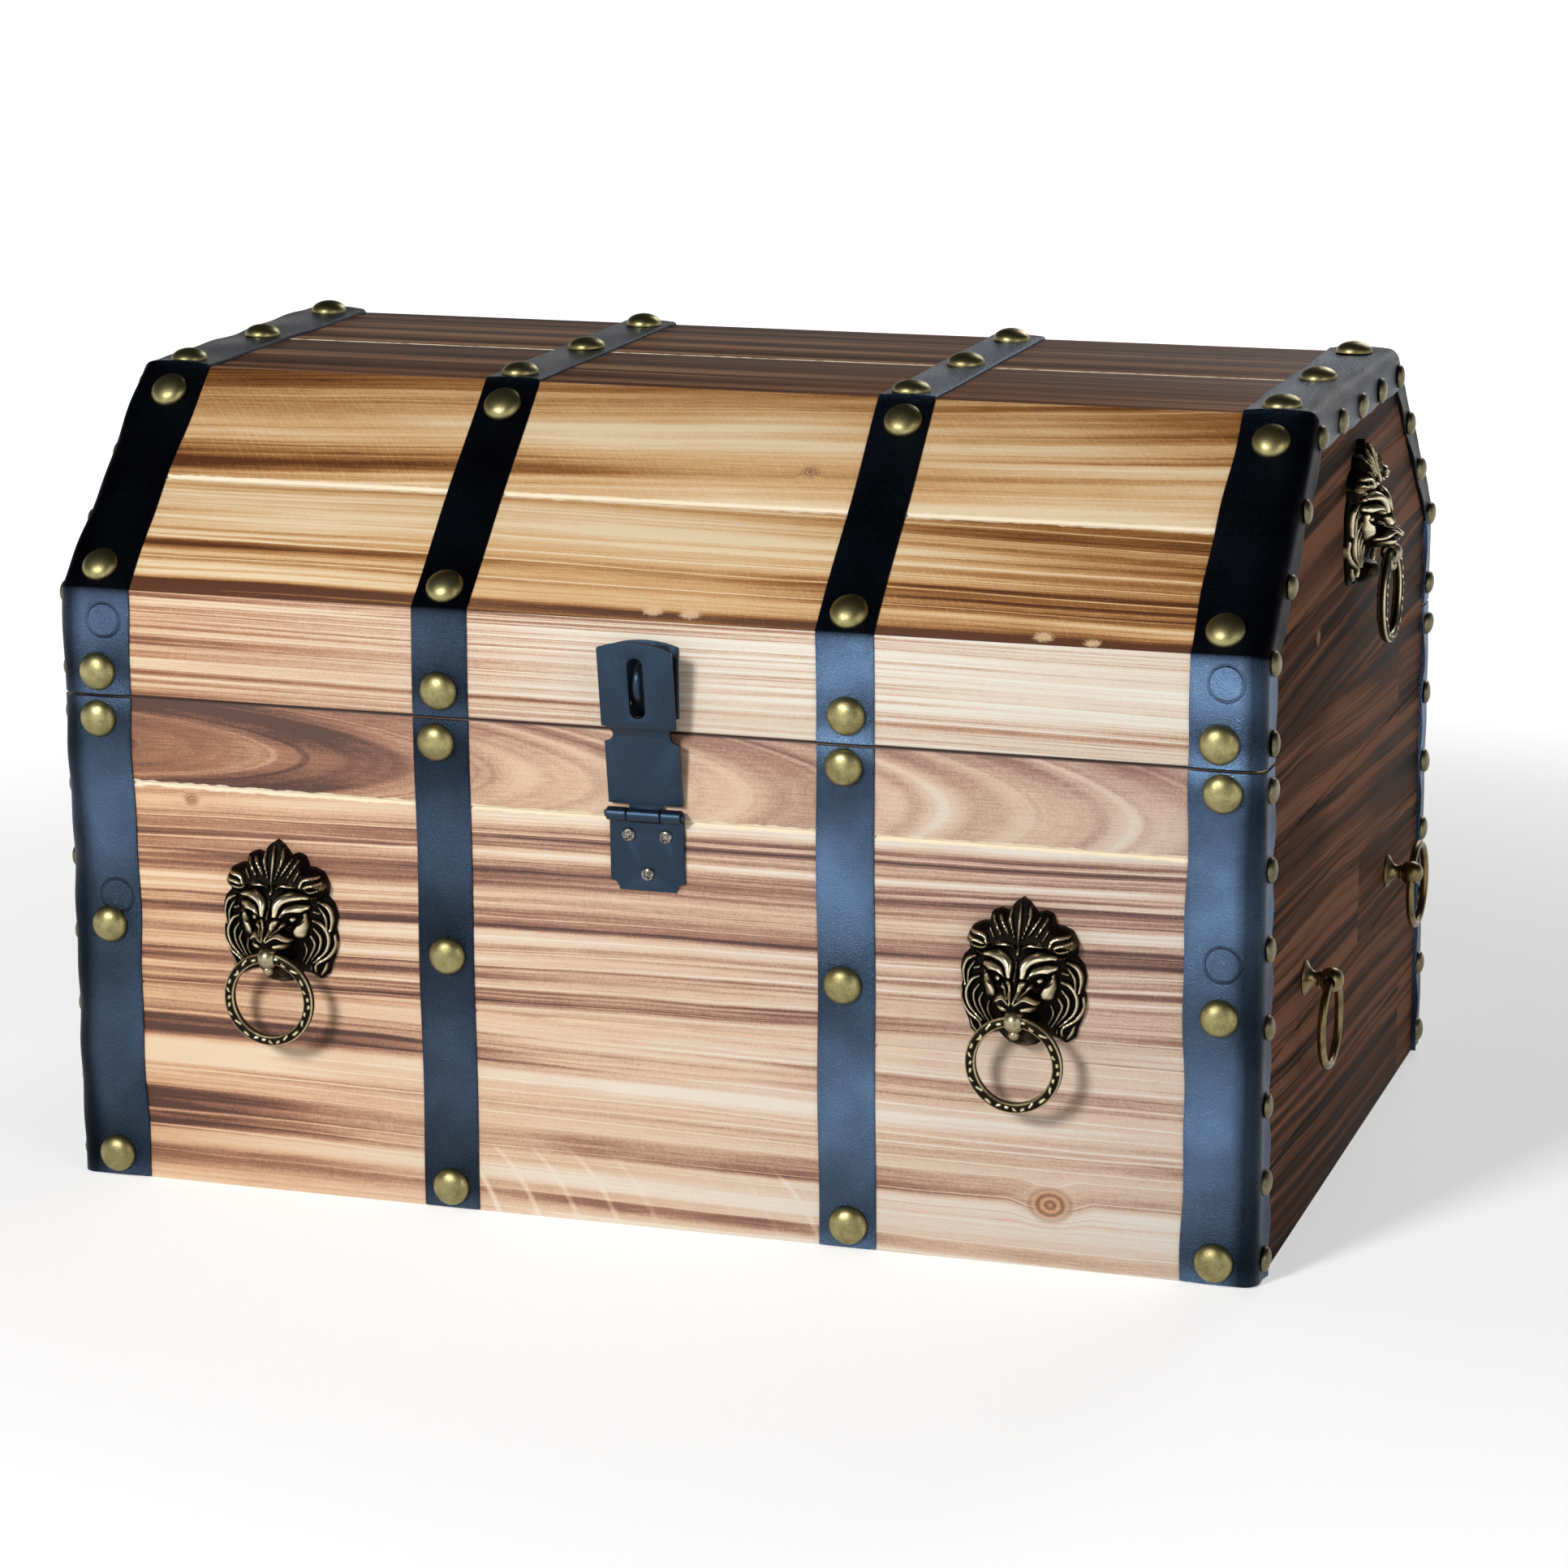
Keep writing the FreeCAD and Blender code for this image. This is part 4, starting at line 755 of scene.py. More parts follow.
def strap_set(look, path, where, stops, tack_stops, painted_sheen_pair, end_nodes, mid_node, foot_flare=0.0):
    """The two folded end straps and the two flat straps between them, along one path over the chest."""
    end_painted_sheen_of, mid_painted_sheen_of = painted_sheen_pair
    for (side, level), node in zip(END_STRAP_PAINTED_SHEEN.items(), end_nodes):
        shape, painted_sheen = fold_sweep(path, side, where, stops, tack_stops, end_painted_sheen_of, foot_flare)
        piece(f"{node}_vinyl", shape, look, node, {"painted_sheen": painted_sheen * level})
    edges = [(solid[:, 0].min(), solid[:, 0].max()) for solid in islands(mid_node)]
    flats = [flat_sweep(path, left, right, where, stops) for left, right in edges]
    painted_sheen = np.repeat([mid_painted_sheen_of(length) for length in where], len(FLAT_SHARES))
    piece(f"{mid_node}_vinyl", joined(flats), look, mid_node,
          {"painted_sheen": np.concatenate([painted_sheen * level for level in MID_STRAP_PAINTED_SHEEN])})


# The lid's outline from the front foot over the top to the back foot, as (y, z), and lengths along it
LID_HALF = [(-HALF_DEPTH, LID_STRAP_FOOT), (-HALF_DEPTH, SHOULDER), (-HALF_TOP, CROWN)]
LID_PATH = np.array(LID_HALF + [(-y, z) for y, z in LID_HALF[::-1]])
LID_STEPS = np.linalg.norm(np.diff(LID_PATH, axis=0), axis=1)
LID_STOPS = np.concatenate([[0], np.cumsum(LID_STEPS)])
LID_ALONG = np.diff(LID_PATH, axis=0) / LID_STEPS[:, None]
LID_OUT = np.stack([-LID_ALONG[:, 1], LID_ALONG[:, 0]], axis=1)


def lid_frame(length):
    """The point of the lid's outline at a length along it, and the outward direction there, mitred."""
    for corner in range(1, len(LID_STOPS) - 1):
        if abs(length - LID_STOPS[corner]) < 1e-6:
            both = LID_OUT[corner - 1] + LID_OUT[corner]
            return LID_PATH[corner], both / (both @ LID_OUT[corner])
    index = int(np.clip(np.searchsorted(LID_STOPS, length, side="right") - 1, 0, len(LID_STEPS) - 1))
    return LID_PATH[index] + LID_ALONG[index] * (length - LID_STOPS[index]), LID_OUT[index]


def lid_length(point):
    """How far along the lid's outline a point lies."""
    found = []
    for start, along, step, stop in zip(LID_PATH, LID_ALONG, LID_STEPS, LID_STOPS):
        reach = float(np.clip((point[1:] - start) @ along, 0, step))
        found.append((np.linalg.norm(start + along * reach - point[1:]), stop + reach))
    return round(min(found)[1], 1)


def lid_samples(step, close):
    """Lengths along the lid's outline, its corners among them with a sample close on each side."""
    lengths = [0.0]
    for start, end in zip(LID_STOPS, LID_STOPS[1:]):
        inner = np.linspace(start + close, end - close, max(2, int((end - start) / step)))
        lengths += inner.tolist() + [end]
    return lengths


# How far past a strap's ends its outermost swell would end, and the samples along a strap
PAST_END = 8
BASE_SAMPLES = np.linspace(STRAP_FOOT, STRAP_HEAD, 90)
LID_SAMPLES = lid_samples(2.2, 1.5)
FOOT_FLARE = 1.4


def straps(look):
    nail_levels = {round(middle(points)[2], 1) for points in islands("base_dome_nails")}
    tack_levels = {round(middle(points)[2], 1) for points in islands("base_flange_tacks")}
    base_stops = [STRAP_FOOT - PAST_END] + sorted(nail_levels) + [STRAP_HEAD + PAST_END]

    def base_painted_sheen(level):
        return BASE_PAINTED_SHEEN + swell(level, base_stops, BASE_PAINTED_SHEEN_MORE)

    def corner_painted_sheen(level):
        return base_painted_sheen(level) * np.interp(level, (STRAP_FOOT, STRAP_HEAD), CORNER_PAINTED_SHEEN)

    for depth_side, face in FACES:
        def wall_path(level):
            return (depth_side * HALF_DEPTH, level), (depth_side, 0.0)
        strap_set(look, wall_path, BASE_SAMPLES, base_stops, sorted(tack_levels), (corner_painted_sheen, base_painted_sheen),
                  [f"base_{face}_{hand}_strap" for _, hand in SIDES], f"base_{face}_mid_straps", FOOT_FLARE)

    nail_middles = [middle(points) for points in islands("lid_dome_nails")]
    tack_middles = [middle(points) for points in islands("lid_flange_tacks")]
    end = LID_STOPS[-1]
    lid_stops = sorted({lid_length(point) for point in nail_middles if point[0] > HALF_LENGTH / 2})
    lid_stops = [-PAST_END] + lid_stops + [end + PAST_END]
    tack_stops = sorted({lid_length(point) for point in tack_middles if point[0] > 0})

    def lid_painted_sheen(length):
        """Painted sheen: bright on the rails, black on the slopes, grey on the top."""
        rail = RAIL_PAINTED_SHEEN + swell(length, lid_stops, RAIL_PAINTED_SHEEN_MORE)
        corners = [LID_STOPS[0], LID_STOPS[1] - 2, LID_STOPS[1], LID_STOPS[2] - 2, LID_STOPS[2] + 2]
        levels = [rail, rail, SLOPE_PAINTED_SHEEN, SLOPE_PAINTED_SHEEN, TOP_PAINTED_SHEEN]
        return np.interp(min(length, end - length), corners, levels)

    strap_set(look, lid_frame, LID_SAMPLES, lid_stops, tack_stops, (lid_painted_sheen, lid_painted_sheen),
              [f"lid_{hand}_end_strap" for _, hand in SIDES], "lid_mid_straps")


# Nails, tacks and screws


def antique_brass(name, light, shade, rough):
    paint = Paint(name)
    point = paint.place()
    cloud = paint.noise(point, 0.22, 3.0, 0.6)
    speck = paint.noise(point, 2.2, 2.0, 0.6)
    patina = cloud * 0.6 + speck * 0.4
    tone = paint.ramp(patina, [(0.3, shade), (0.62, light)])
    dull = paint.smooth(patina, 0.3, 0.7, rough + 0.12, rough)
    return paint.finish(colour=tone, metallic=1.0, roughness=dull,
                        normal=paint.bump(speck + cloud, 0.12, 0.35))


RIM_HIGH = 0.4


def dome(radius, rise, segments, rings):
    """A rolled cap: a short rim and a round top."""
    profile = [(radius * 0.9, -0.25), (radius, 0.1), (radius, RIM_HIGH)]
    for step in range(1, rings + 1):
        turn = math.pi / 2 * step / rings
        profile.append((radius * math.cos(turn), RIM_HIGH + (rise - RIM_HIGH) * math.sin(turn)))
    return lathe(profile, segments)


def surface_out(point):
    """The outward direction of the long face nearest to a point, and the point's distance off the wood."""
    faces = [((0, -1, 0), HALF_DEPTH), ((0, 1, 0), HALF_DEPTH)]
    if point[2] > PARTING:
        steep = SLOPE_RISE / SLOPE_LENGTH
        level = SLOPE_RUN / SLOPE_LENGTH
        reach = HALF_DEPTH * steep + SHOULDER * level
        faces += [((0, 0, 1), CROWN), ((0, -steep, level), reach), ((0, steep, level), reach)]
    heights = [(np.dot(point, out) - reach, np.array(out)) for out, reach in faces]
    height, out = min(heights, key=lambda entry: abs(entry[0]))
    return out, height


# How high nails and tacks sit on a strap, and how far a nail strays, usually and at most
NAIL_LIFT, TACK_LIFT = 0.05, 0.2
STRAY, MOST_STRAY = 0.9, 1.6


def nail_seat(spot):
    """Where a dome nail sits on its strap, a little astray, and its outward direction."""
    out, height = surface_out(spot)
    stray = np.clip(dice.normal(0, STRAY, 2), -MOST_STRAY, MOST_STRAY)
    seat = spot + out * (STRAP + NAIL_LIFT - height)
    return seat + np.array((stray[0], 0, 0)) + np.cross(out, (1, 0, 0)) * stray[1], out


def tack_seat(spot):
    """Where a tack sits on an end strap's flange, and its outward direction."""
    out = np.array((math.copysign(1, spot[0]), 0, 0))
    return np.array((out[0] * (HALF_LENGTH + STRAP + TACK_LIFT), spot[1], spot[2])), out


# Of each kind: its seat, radius and rise with their least and greatest share, lean, segments and rings
CAPS = {
    "dome_nails": (nail_seat, (6.85, 0.975, 1.02), (4.35, 0.95, 1.02), 0.03, 28, 9),
    "flange_tacks": (tack_seat, (4.5, 0.96, 1.03), (2.5, 0.9, 1.05), 0.07, 22, 7),
}


def caps(kind, look):
    """The caps of the nails or tacks on the base and the lid, each a little different."""
    seat_of, (radius, *radius_share), (rise, *rise_share), lean, segments, rings = CAPS[kind]
    for carrier in ("base", "lid"):
        node = f"{carrier}_{kind}"
        shapes = []
        for solid in islands(node):
            seat, out = seat_of(middle(solid))
            wide = radius * dice.uniform(*radius_share)
            cap = dome(wide, rise * dice.uniform(*rise_share), segments, rings)
            shapes.append(placed(cap, facing(seat, out + dice.normal(0, lean, 3), dice.uniform(0, 6))))
        piece(f"{node}_caps", joined(shapes), look, node)


SCREW_RADIUS, SCREW_RISE = 2.5, 1.15
# How far a head sits below the solid's end, and its recess: depth, and half width and reach of its arms
SCREW_SINK, SCREW_EDGE = 1.1, 0.2
RECESS, ARM_HALF, ARM_REACH = 0.55, SCREW_RADIUS * 0.2, SCREW_RADIUS * 0.62


def screw_head():
    """A low pan head with a cross recess."""
    segments, rings = 32, 12
    loops = []
    for ring in range(rings + 1):
        share = 1 - ring / rings * 0.985
        loop = []
        for turn in around(segments):
            x, y = SCREW_RADIUS * share * math.cos(turn), SCREW_RADIUS * share * math.sin(turn)
            height = SCREW_RISE * math.sqrt(max(0.0, 1 - share ** 3))
            arm, reach = sorted((abs(x), abs(y)))
            inside = np.clip((ARM_HALF - arm) / 0.15, 0, 1) * np.clip((ARM_REACH - reach) / 0.2, 0, 1)
            loop.append((x, y, height - RECESS * inside))
        loops.append(np.array(loop))
    skirt = loops[0].copy()
    skirt[:, 2] = -0.3
    return swept([skirt] + loops)


def screws(look):
    head = screw_head()
    for node in ("hasp_screws", "staple_screws", "hinge_base_screws", "hinge_lid_screws"):
        heads = []
        for solid in islands(node):
            low, high = solid.min(0), solid.max(0)
            side = math.copysign(1, low[1])
            outer = low[1] if side < 0 else high[1]
            seat = ((low[0] + high[0]) / 2, outer - side * SCREW_SINK, (low[2] + high[2]) / 2)
            heads.append(placed(head, facing(seat, (0, side, 0), dice.uniform(0, 3))))
        piece(f"{node}_heads", joined(heads), look, node)
    for node in ("base_lion_screws", "lid_lion_screws"):
        softened(node, SCREW_EDGE, look)


# Hasp, staple and hinges


def black_paint():
    paint = Paint("hasp_black")
    point = paint.place()
    peel = paint.noise(point, 1.4, 3.0, 0.6)
    worn = paint.smooth(paint.noise(point, 0.12, 3.0, 0.65), 0.62, 0.75)
    tone = paint.mix(worn, colour(8, 9, 12), colour(26, 30, 36))
    # The bluish specular tint is a painted reflection of bluish light
    return paint.finish(colour=tone, roughness=paint.smooth(peel, 0.3, 0.7, 0.34, 0.46), ior=1.72,
                        tint=(0.36, 0.62, 1.0, 1.0), normal=paint.bump(peel, 0.06, 0.5))


def worn_steel():
    paint = Paint("screw_steel")
    patch = paint.noise(paint.place(), 0.9, 3.0, 0.6)
    tone = paint.ramp(patch, [(0.35, colour(60, 58, 56)), (0.65, colour(176, 170, 162))])
    return paint.finish(colour=tone, metallic=1.0, roughness=paint.smooth(patch, 0.3, 0.7, 0.5, 0.3),
                        normal=paint.bump(patch, 0.1, 0.4))


def barrel(joint, left, right):
    """A rolled knuckle about a joint's axis from one x to another, its ends rounded."""
    long = right - left
    profile = [(KNUCKLE * 0.45, 0), (KNUCKLE * 0.85, 0), (KNUCKLE, 0.35), (KNUCKLE, long - 0.35),
               (KNUCKLE * 0.85, long), (KNUCKLE * 0.45, long)]
    return placed(lathe(profile, 28), facing((left, joint[1], joint[2]), (1, 0, 0)))


HALF_MIDDLE, KNUCKLE_GAP = 6.0, 0.3
LEAF_EDGE, PIN_EDGE, STAPLE_EDGE = 0.25, 0.35, 0.75


def knuckles(joint, left, centre, right):
    """The two outer knuckles of one leaf and the middle knuckle of the other."""
    outer = [barrel(joint, left, centre - HALF_MIDDLE - KNUCKLE_GAP),
             barrel(joint, centre + HALF_MIDDLE + KNUCKLE_GAP, right)]
    return outer, [barrel(joint, centre - HALF_MIDDLE, centre + HALF_MIDDLE)]


def hardware(black, brass):
    hasp = JOINT_AT["hasp_hinge"]
    low, high = span("hasp_lower_leaf")
    outer, inner = knuckles(hasp, low[0], hasp[0], high[0])
    softened("hasp_lower_leaf", LEAF_EDGE, black, outer, barrel_axis=hasp[1:])
    softened("hasp_leaf", LEAF_EDGE, black, inner, barrel_axis=hasp[1:])
    softened("hasp_pin", PIN_EDGE, black)
    softened("staple_plate", LEAF_EDGE, black)
    softened("staple", STAPLE_EDGE, black)
    hinge = JOINT_AT["lid_hinge"]
    base_rolls, lid_rolls = [], []
    for solid in islands("hinge_base_leaves"):
        left, right = solid[:, 0].min(), solid[:, 0].max()
        outer, inner = knuckles(hinge, left, (left + right) / 2, right)
        base_rolls += outer
        lid_rolls += inner
    softened("hinge_base_leaves", LEAF_EDGE, brass, base_rolls, barrel_axis=hinge[1:])
    softened("hinge_lid_leaves", LEAF_EDGE, brass, lid_rolls, barrel_axis=hinge[1:])
    softened("hinge_pins", PIN_EDGE, brass)


# Lion mask ring pulls


def bronze(name, shade, light, glint):
    """Dark bronze with its raised places rubbed bright, by the wear that the mesh carries."""
    paint = Paint(name)
    speck = paint.noise(paint.place(), 1.6, 3.0, 0.6)
    rubbed = speck * 0.3 + (paint.attribute("wear") - 0.15)
    tone = paint.ramp(rubbed, [(0.3, shade), (0.55, light), (0.85, glint)])
    return paint.finish(colour=tone, metallic=1.0, roughness=paint.smooth(rubbed, 0.3, 0.8, 0.55, 0.3),
                        normal=paint.bump(speck, 0.1, 0.3))


# Half of the mask's outline from the crest's tip to the chin, as (across, up) from the ring's axis
LION_OUTLINE = np.array([
    (0.0, 40.3), (2.4, 38.6), (5.0, 35.0), (7.6, 36.0), (10.4, 35.0), (11.4, 31.2),
    (14.0, 31.0), (17.2, 29.6), (19.2, 25.4), (18.6, 20.8), (20.8, 18.6), (22.0, 14.0),
    (21.2, 9.4), (22.0, 5.4), (21.0, 0.4), (19.2, -4.0), (18.4, -7.4), (15.2, -9.8),
    (11.6, -8.0), (8.6, -7.4), (4.8, -11.0), (0.0, -12.0),
])
LION_CENTRE = 11.0


def lion_radius(angles):
    """How far the outline reaches from the mask's middle at each angle from straight up."""
    across, up = LION_OUTLINE.T
    return np.interp(np.abs(angles), np.arctan2(across, up - LION_CENTRE), np.hypot(across, up - LION_CENTRE))


def bulge(x, z, centre, wide, tall, power=0.5):
    """A round swelling of height one over an oval."""
    share = ((x - centre[0]) / wide) ** 2 + ((z - centre[1]) / tall) ** 2
    return np.clip(1 - share, 0, 1) ** power


def smooth_curve(points, steps=14):
    """Points along a curve that passes through the given ones."""
    points = np.array(points, float)
    padded = np.concatenate([[2 * points[0] - points[1]], points, [2 * points[-1] - points[-2]]])
    curve = []
    for a, b, c, d in zip(padded, padded[1:], padded[2:], padded[3:]):
        for share in np.linspace(0, 1, steps, endpoint=False):
            curve.append(0.5 * (2 * b + (c - a) * share + (2 * a - 5 * b + 4 * c - d) * share ** 2
                                + (3 * b - a - 3 * c + d) * share ** 3))
    return np.array(curve + [points[-1]])


def stroke(x, z, points, widths):
    """A rounded ridge of height one along a curve, its half width from the first width to the last."""
    curve = smooth_curve(points)
    shares = np.linspace(0, 1, len(curve))
    half = np.interp(shares, np.linspace(0, 1, len(widths)), widths)
    best = np.zeros_like(x)
    for (cx, cz), wide in zip(curve, half):
        near = 1 - ((x - cx) ** 2 + (z - cz) ** 2) / wide ** 2
        best = np.maximum(best, np.clip(near, 0, 1))
    return np.sqrt(best)


# Strokes of the right half, each with its points, half widths and height
LION_STROKES = [
    # Brow, eyelid, cheek and eyebrow
    ([(2.4, 15.2), (3.1, 19.2), (6.4, 21.3), (12.4, 20.7)], (1.0, 1.9, 2.0, 0.8), 2.6),
    ([(4.2, 14.6), (6.4, 16.7), (9.4, 17.2), (12.2, 17.3)], (0.5, 1.6, 1.9, 1.1), 2.4),
    ([(11.9, 15.0), (11.2, 11.4), (9.9, 8.2)], (0.6, 1.8, 2.4), 2.5),
    ([(1.4, 24.0), (4.8, 25.3), (10.2, 23.6)], (0.4, 0.75, 0.4), 1.4),
    # Ribs of the nose and the upper lip
    ([(0.5, 7.2), (2.4, 12.8)], (0.45, 1.15), 2.2),
    ([(1.7, 8.4), (4.9, 11.6)], (0.35, 0.8), 1.8),
    ([(0.8, 6.6), (4.0, 8.4), (7.4, 6.0)], (0.45, 0.9, 0.6), 2.1),
    # Locks of the mane
    ([(15.8, 19.4), (19.2, 17.4), (20.6, 13.6), (19.9, 8.6)], (0.4, 0.8, 0.8, 0.45), 1.9),
    ([(16.2, 17.4), (18.4, 13.8), (18.8, 8.8)], (0.4, 0.65, 0.4), 1.6),
    ([(14.5, 15.6), (16.4, 15.0)], (0.6, 0.6), 1.3),
    ([(14.3, 12.6), (17.2, 10.8), (19.3, 6.4), (18.2, 1.4), (13.6, -3.2)], (0.45, 0.75, 0.8, 0.75, 0.4), 1.9),
    ([(14.4, 9.6), (16.5, 6.2), (15.8, 1.8), (12.6, -2.6)], (0.4, 0.65, 0.65, 0.35), 1.6),
    ([(13.2, 6.8), (14.4, 3.6), (12.6, -0.6), (10.6, -3.8)], (0.4, 0.65, 0.6, 0.35), 1.5),
    ([(10.8, 4.2), (11.4, 1.0), (9.8, -2.6)], (0.35, 0.55, 0.35), 1.3),
    ([(21.2, 7.0), (21.4, 3.2), (19.0, -0.8), (14.6, -3.8), (14.2, -6.6)],
     (0.45, 0.75, 0.75, 0.65, 0.4), 1.8),
    ([(18.2, -3.2), (17.4, -5.6), (15.8, -7.8)], (0.4, 0.75, 0.45), 1.6),
    ([(12.6, -4.6), (12.2, -6.8)], (0.5, 0.4), 1.2),
    # Leaves of the crest
    ([(1.3, 27.4), (3.3, 33.6), (3.0, 37.4)], (0.35, 0.7, 0.4), 1.5),
    ([(3.4, 28.6), (5.2, 31.4), (6.9, 34.2)], (0.35, 0.65, 0.55), 1.5),
    ([(6.0, 28.2), (7.8, 31.2), (9.3, 34.0)], (0.35, 0.65, 0.5), 1.5),
    ([(8.4, 27.2), (10.0, 30.2)], (0.35, 0.5), 1.2),
    # Ribs of the ear
    ([(10.8, 25.2), (12.2, 27.8), (17.0, 28.6)], (0.5, 0.85, 0.45), 1.7),
    ([(11.6, 23.8), (13.4, 25.6), (17.8, 26.6)], (0.45, 0.7, 0.4), 1.5),
    ([(11.7, 23.4), (13.6, 22.9), (18.3, 24.4)], (0.45, 0.7, 0.4), 1.5),
    ([(13.4, 20.2), (17.2, 21.4)], (0.4, 0.5), 1.2),
    # On the middle line: forehead, bridge of the nose, and the crest's own rib
    ([(0.0, 24.6), (0.0, 22.4)], (0.4, 0.75), 1.5),
    ([(0.0, 20.0), (0.0, 14.2)], (0.4, 0.5), 0.9),
    ([(0.0, 25.0), (0.0, 33.0), (0.0, 38.6)], (0.35, 0.75, 0.45), 1.7),
]
# The height of stroke that is rubbed quite bright, and how sharply the mask's swellings meet
BRIGHT_RISE = 2.3
MEETING = 2.2


def lion_height(x, z, share):
    """How far the mask stands off the wall, from its rim at share one to its middle at zero.

    The second value is how bright the place is rubbed.
    """
    half = np.abs(x)
    inward = np.clip(1 - share, 0, 1)
    mane = 1.3 + 5.4 * inward ** 0.75
    head = 10.4 * bulge(half, z, (0, 13.8), 13.4, 13.6, 0.5)
    muzzle = 15.4 * bulge(half, z, (0, 6.4), 8.4, 5.4, 0.34)
    bridge = 13.0 * bulge(half, z, (0, 12.0), 3.4, 8.0, 0.4)
    chin = 9.0 * bulge(half, z, (0, -6.6), 6.0, 5.2, 0.45)
    ear = 6.0 * bulge(half, z, (15.0, 25.4), 4.8, 4.8, 0.4)
    crest = (3.0 + 4.6 * np.clip((40.5 - z) / 15, 0, 1)) * np.clip((z - 23) / 2, 0, 1)
    stack = np.stack([mane, head, muzzle, bridge, chin, ear, crest])
    base = np.log(np.exp(stack * MEETING).sum(0)) / MEETING
    pads = bulge(half, z, (4.6, 4.2), 2.5, 1.5)
    eye = bulge(half, z, (7.4, 13.0), 1.25, 1.15)
    detail = np.maximum(1.8 * pads, 1.7 * eye)
    glow = np.maximum(pads, 0.8 * eye)
    for points, widths, rise in LION_STROKES:
        ridge = stroke(half, z, points, widths)
        detail = np.maximum(detail, rise * ridge)
        glow = np.maximum(glow, ridge * min(1.0, rise / BRIGHT_RISE))
    socket = 2.6 * bulge(half, z, (7.8, 13.6), 4.2, 2.9)
    mouth = 1 - 0.6 * bulge(half, z, (0, -0.6), 7.0, 3.2, 0.8)
    rim = np.clip(inward / 0.1, 0, 1) ** 0.6
    low = 0.9 + 1.8 * np.clip((z - 31) / 6, 0, 1)
    return low + ((base - socket) * mouth + detail - low) * (0.3 + 0.7 * rim), glow


def lion_mask():
    """The mask as a polar skin over its outline, with the wear of its raised places."""
    spokes, rings, blurs = 320, 92, 14
    angles = np.linspace(-math.pi, math.pi, spokes, endpoint=False)
    shares = np.concatenate([[1.0], np.linspace(1, 0.012, rings) ** 0.9])[:, None]
    reach = shares * lion_radius(angles)
    x = reach * np.sin(angles)
    z = LION_CENTRE + reach * np.cos(angles)
    height, glow = lion_height(x, z, np.broadcast_to(shares, x.shape))
    soft = height.copy()
    for _ in range(blurs):
        soft = (np.roll(soft, 2, 1) + np.roll(soft, -2, 1) + soft * 2) / 4
        soft[1:-1] = (soft[2:] + soft[:-2] + soft[1:-1] * 2) / 4
    wear = np.clip(0.2 + 0.55 * glow ** 1.3 + (height - soft) * 0.25, 0, 1)
    height[0] = 0
    return swept(list(np.stack([x, -height, z], axis=2))), wear.ravel()


def pierced_ball(radius, hole):
    """A ball with a round hole along X, as it holds a ring."""
    profile = half_circle(radius, math.asin(hole / radius), 17)
    profile += [(hole, along) for along in np.linspace(profile[-1][1], profile[0][1], 5)[1:-1]]
    out, along = np.array(profile).T
    loops = [np.stack([along, -out * math.cos(angle), out * math.sin(angle)], axis=1) for angle in around(30)]
    return swept(loops, closed=True)


def ring(radius, bar, turn, angle):
    """A ring in the XZ plane about the origin, from the radius of its bar at each turn and angle."""
    out = radius + bar * np.cos(angle)
    loops = np.stack([out * np.sin(turn), bar * np.sin(angle), out * np.cos(turn)], axis=2)
    return swept(list(loops), closed=True)


def round_ring(radius, bar):
    return ring(radius, bar, *np.meshgrid(around(96), around(16), indexing="ij"))


def vine_ring(radius, bar):
    """A ring carved with a vine between two thin edge lines, with the wear of its raised places."""
    turn, angle = np.meshgrid(around(300), around(32), indexing="ij")
    across = np.cos(angle)
    rails = np.exp(-((np.abs(across) - 0.8) / 0.13) ** 2)
    stem = 0.3 * np.sin(9 * turn) + 0.12 * np.sin(23 * turn + 1)
    leafy = np.clip(0.5 + np.sin(27 * turn + 2.2 * np.sin(4 * turn)), 0, 1)
    leaf = np.exp(-((across - stem) / 0.22) ** 2) * leafy
    raised = np.maximum(rails, leaf) * np.abs(np.sin(angle)) ** 0.3
    wear = np.clip(0.22 + 0.7 * raised, 0, 1)
    return ring(radius, bar * (0.9 + 0.1 * raised), turn, angle), wear.ravel()


RING_RADIUS, VINE_BAR, PULL_BAR = 15.2, 2.05, 1.5
# The ball in the lion's mouth: its radius, its hole, and how far it stands off the wall
BALL_RADIUS, BALL_HOLE, BALL_OUT = 3.9, 2.55, 13.0
DROP_RADIUS, DROP_PLACE = 1.9, (0, -13.2, -4.6)
BALL_WEAR = 0.64
# Turns of the lion masks about the chest, in degrees
LION_TURNS = {"front_left": 0, "front_right": 0, "lid_left": -90, "lid_right": 90}


def lions(mask_look, ring_look):
    mask, wear = lion_mask()
    ball = placed(pierced_ball(BALL_RADIUS, BALL_HOLE), moved((0, -BALL_OUT, 0)))
    drop = lathe(half_circle(DROP_RADIUS, 0, 11), 20)
    whole = joined([mask, ball, placed(drop, moved(DROP_PLACE))])
    wear = np.concatenate([wear, np.full(len(ball[0]) + len(drop[0]), BALL_WEAR)])
    carved, carved_wear = vine_ring(RING_RADIUS, VINE_BAR)
    for where, degrees in LION_TURNS.items():
        wall = turned(degrees, "Z")
        seat = Vector(JOINT_AT[f"{where}_ring_swing"]) - wall @ Vector((0, -BALL_OUT, 0))
        piece(f"{where}_lion_relief", placed(whole, moved(seat) @ wall), mask_look, f"{where}_lion_mask",
              {"wear": wear})
        node = f"{where}_lion_ring"
        centre = middle(np.array(span(node)))
        piece(f"{node}_carved", placed(carved, moved(centre) @ wall), ring_look, node, {"wear": carved_wear})


# Plain ring pulls


# A post's turned profile up to its neck, as (radius, height), and the ball that holds its ring
POST_PROFILE = [(5.0, -0.3), (6.0, 0.0), (6.2, 0.5), (5.7, 1.0), (4.2, 1.7),
                (3.0, 2.9), (2.5, 4.2), (2.6, 5.2), (3.2, 5.7), (2.7, 6.2)]
POST_BALL, POST_HOLE = 4.5, 2.2
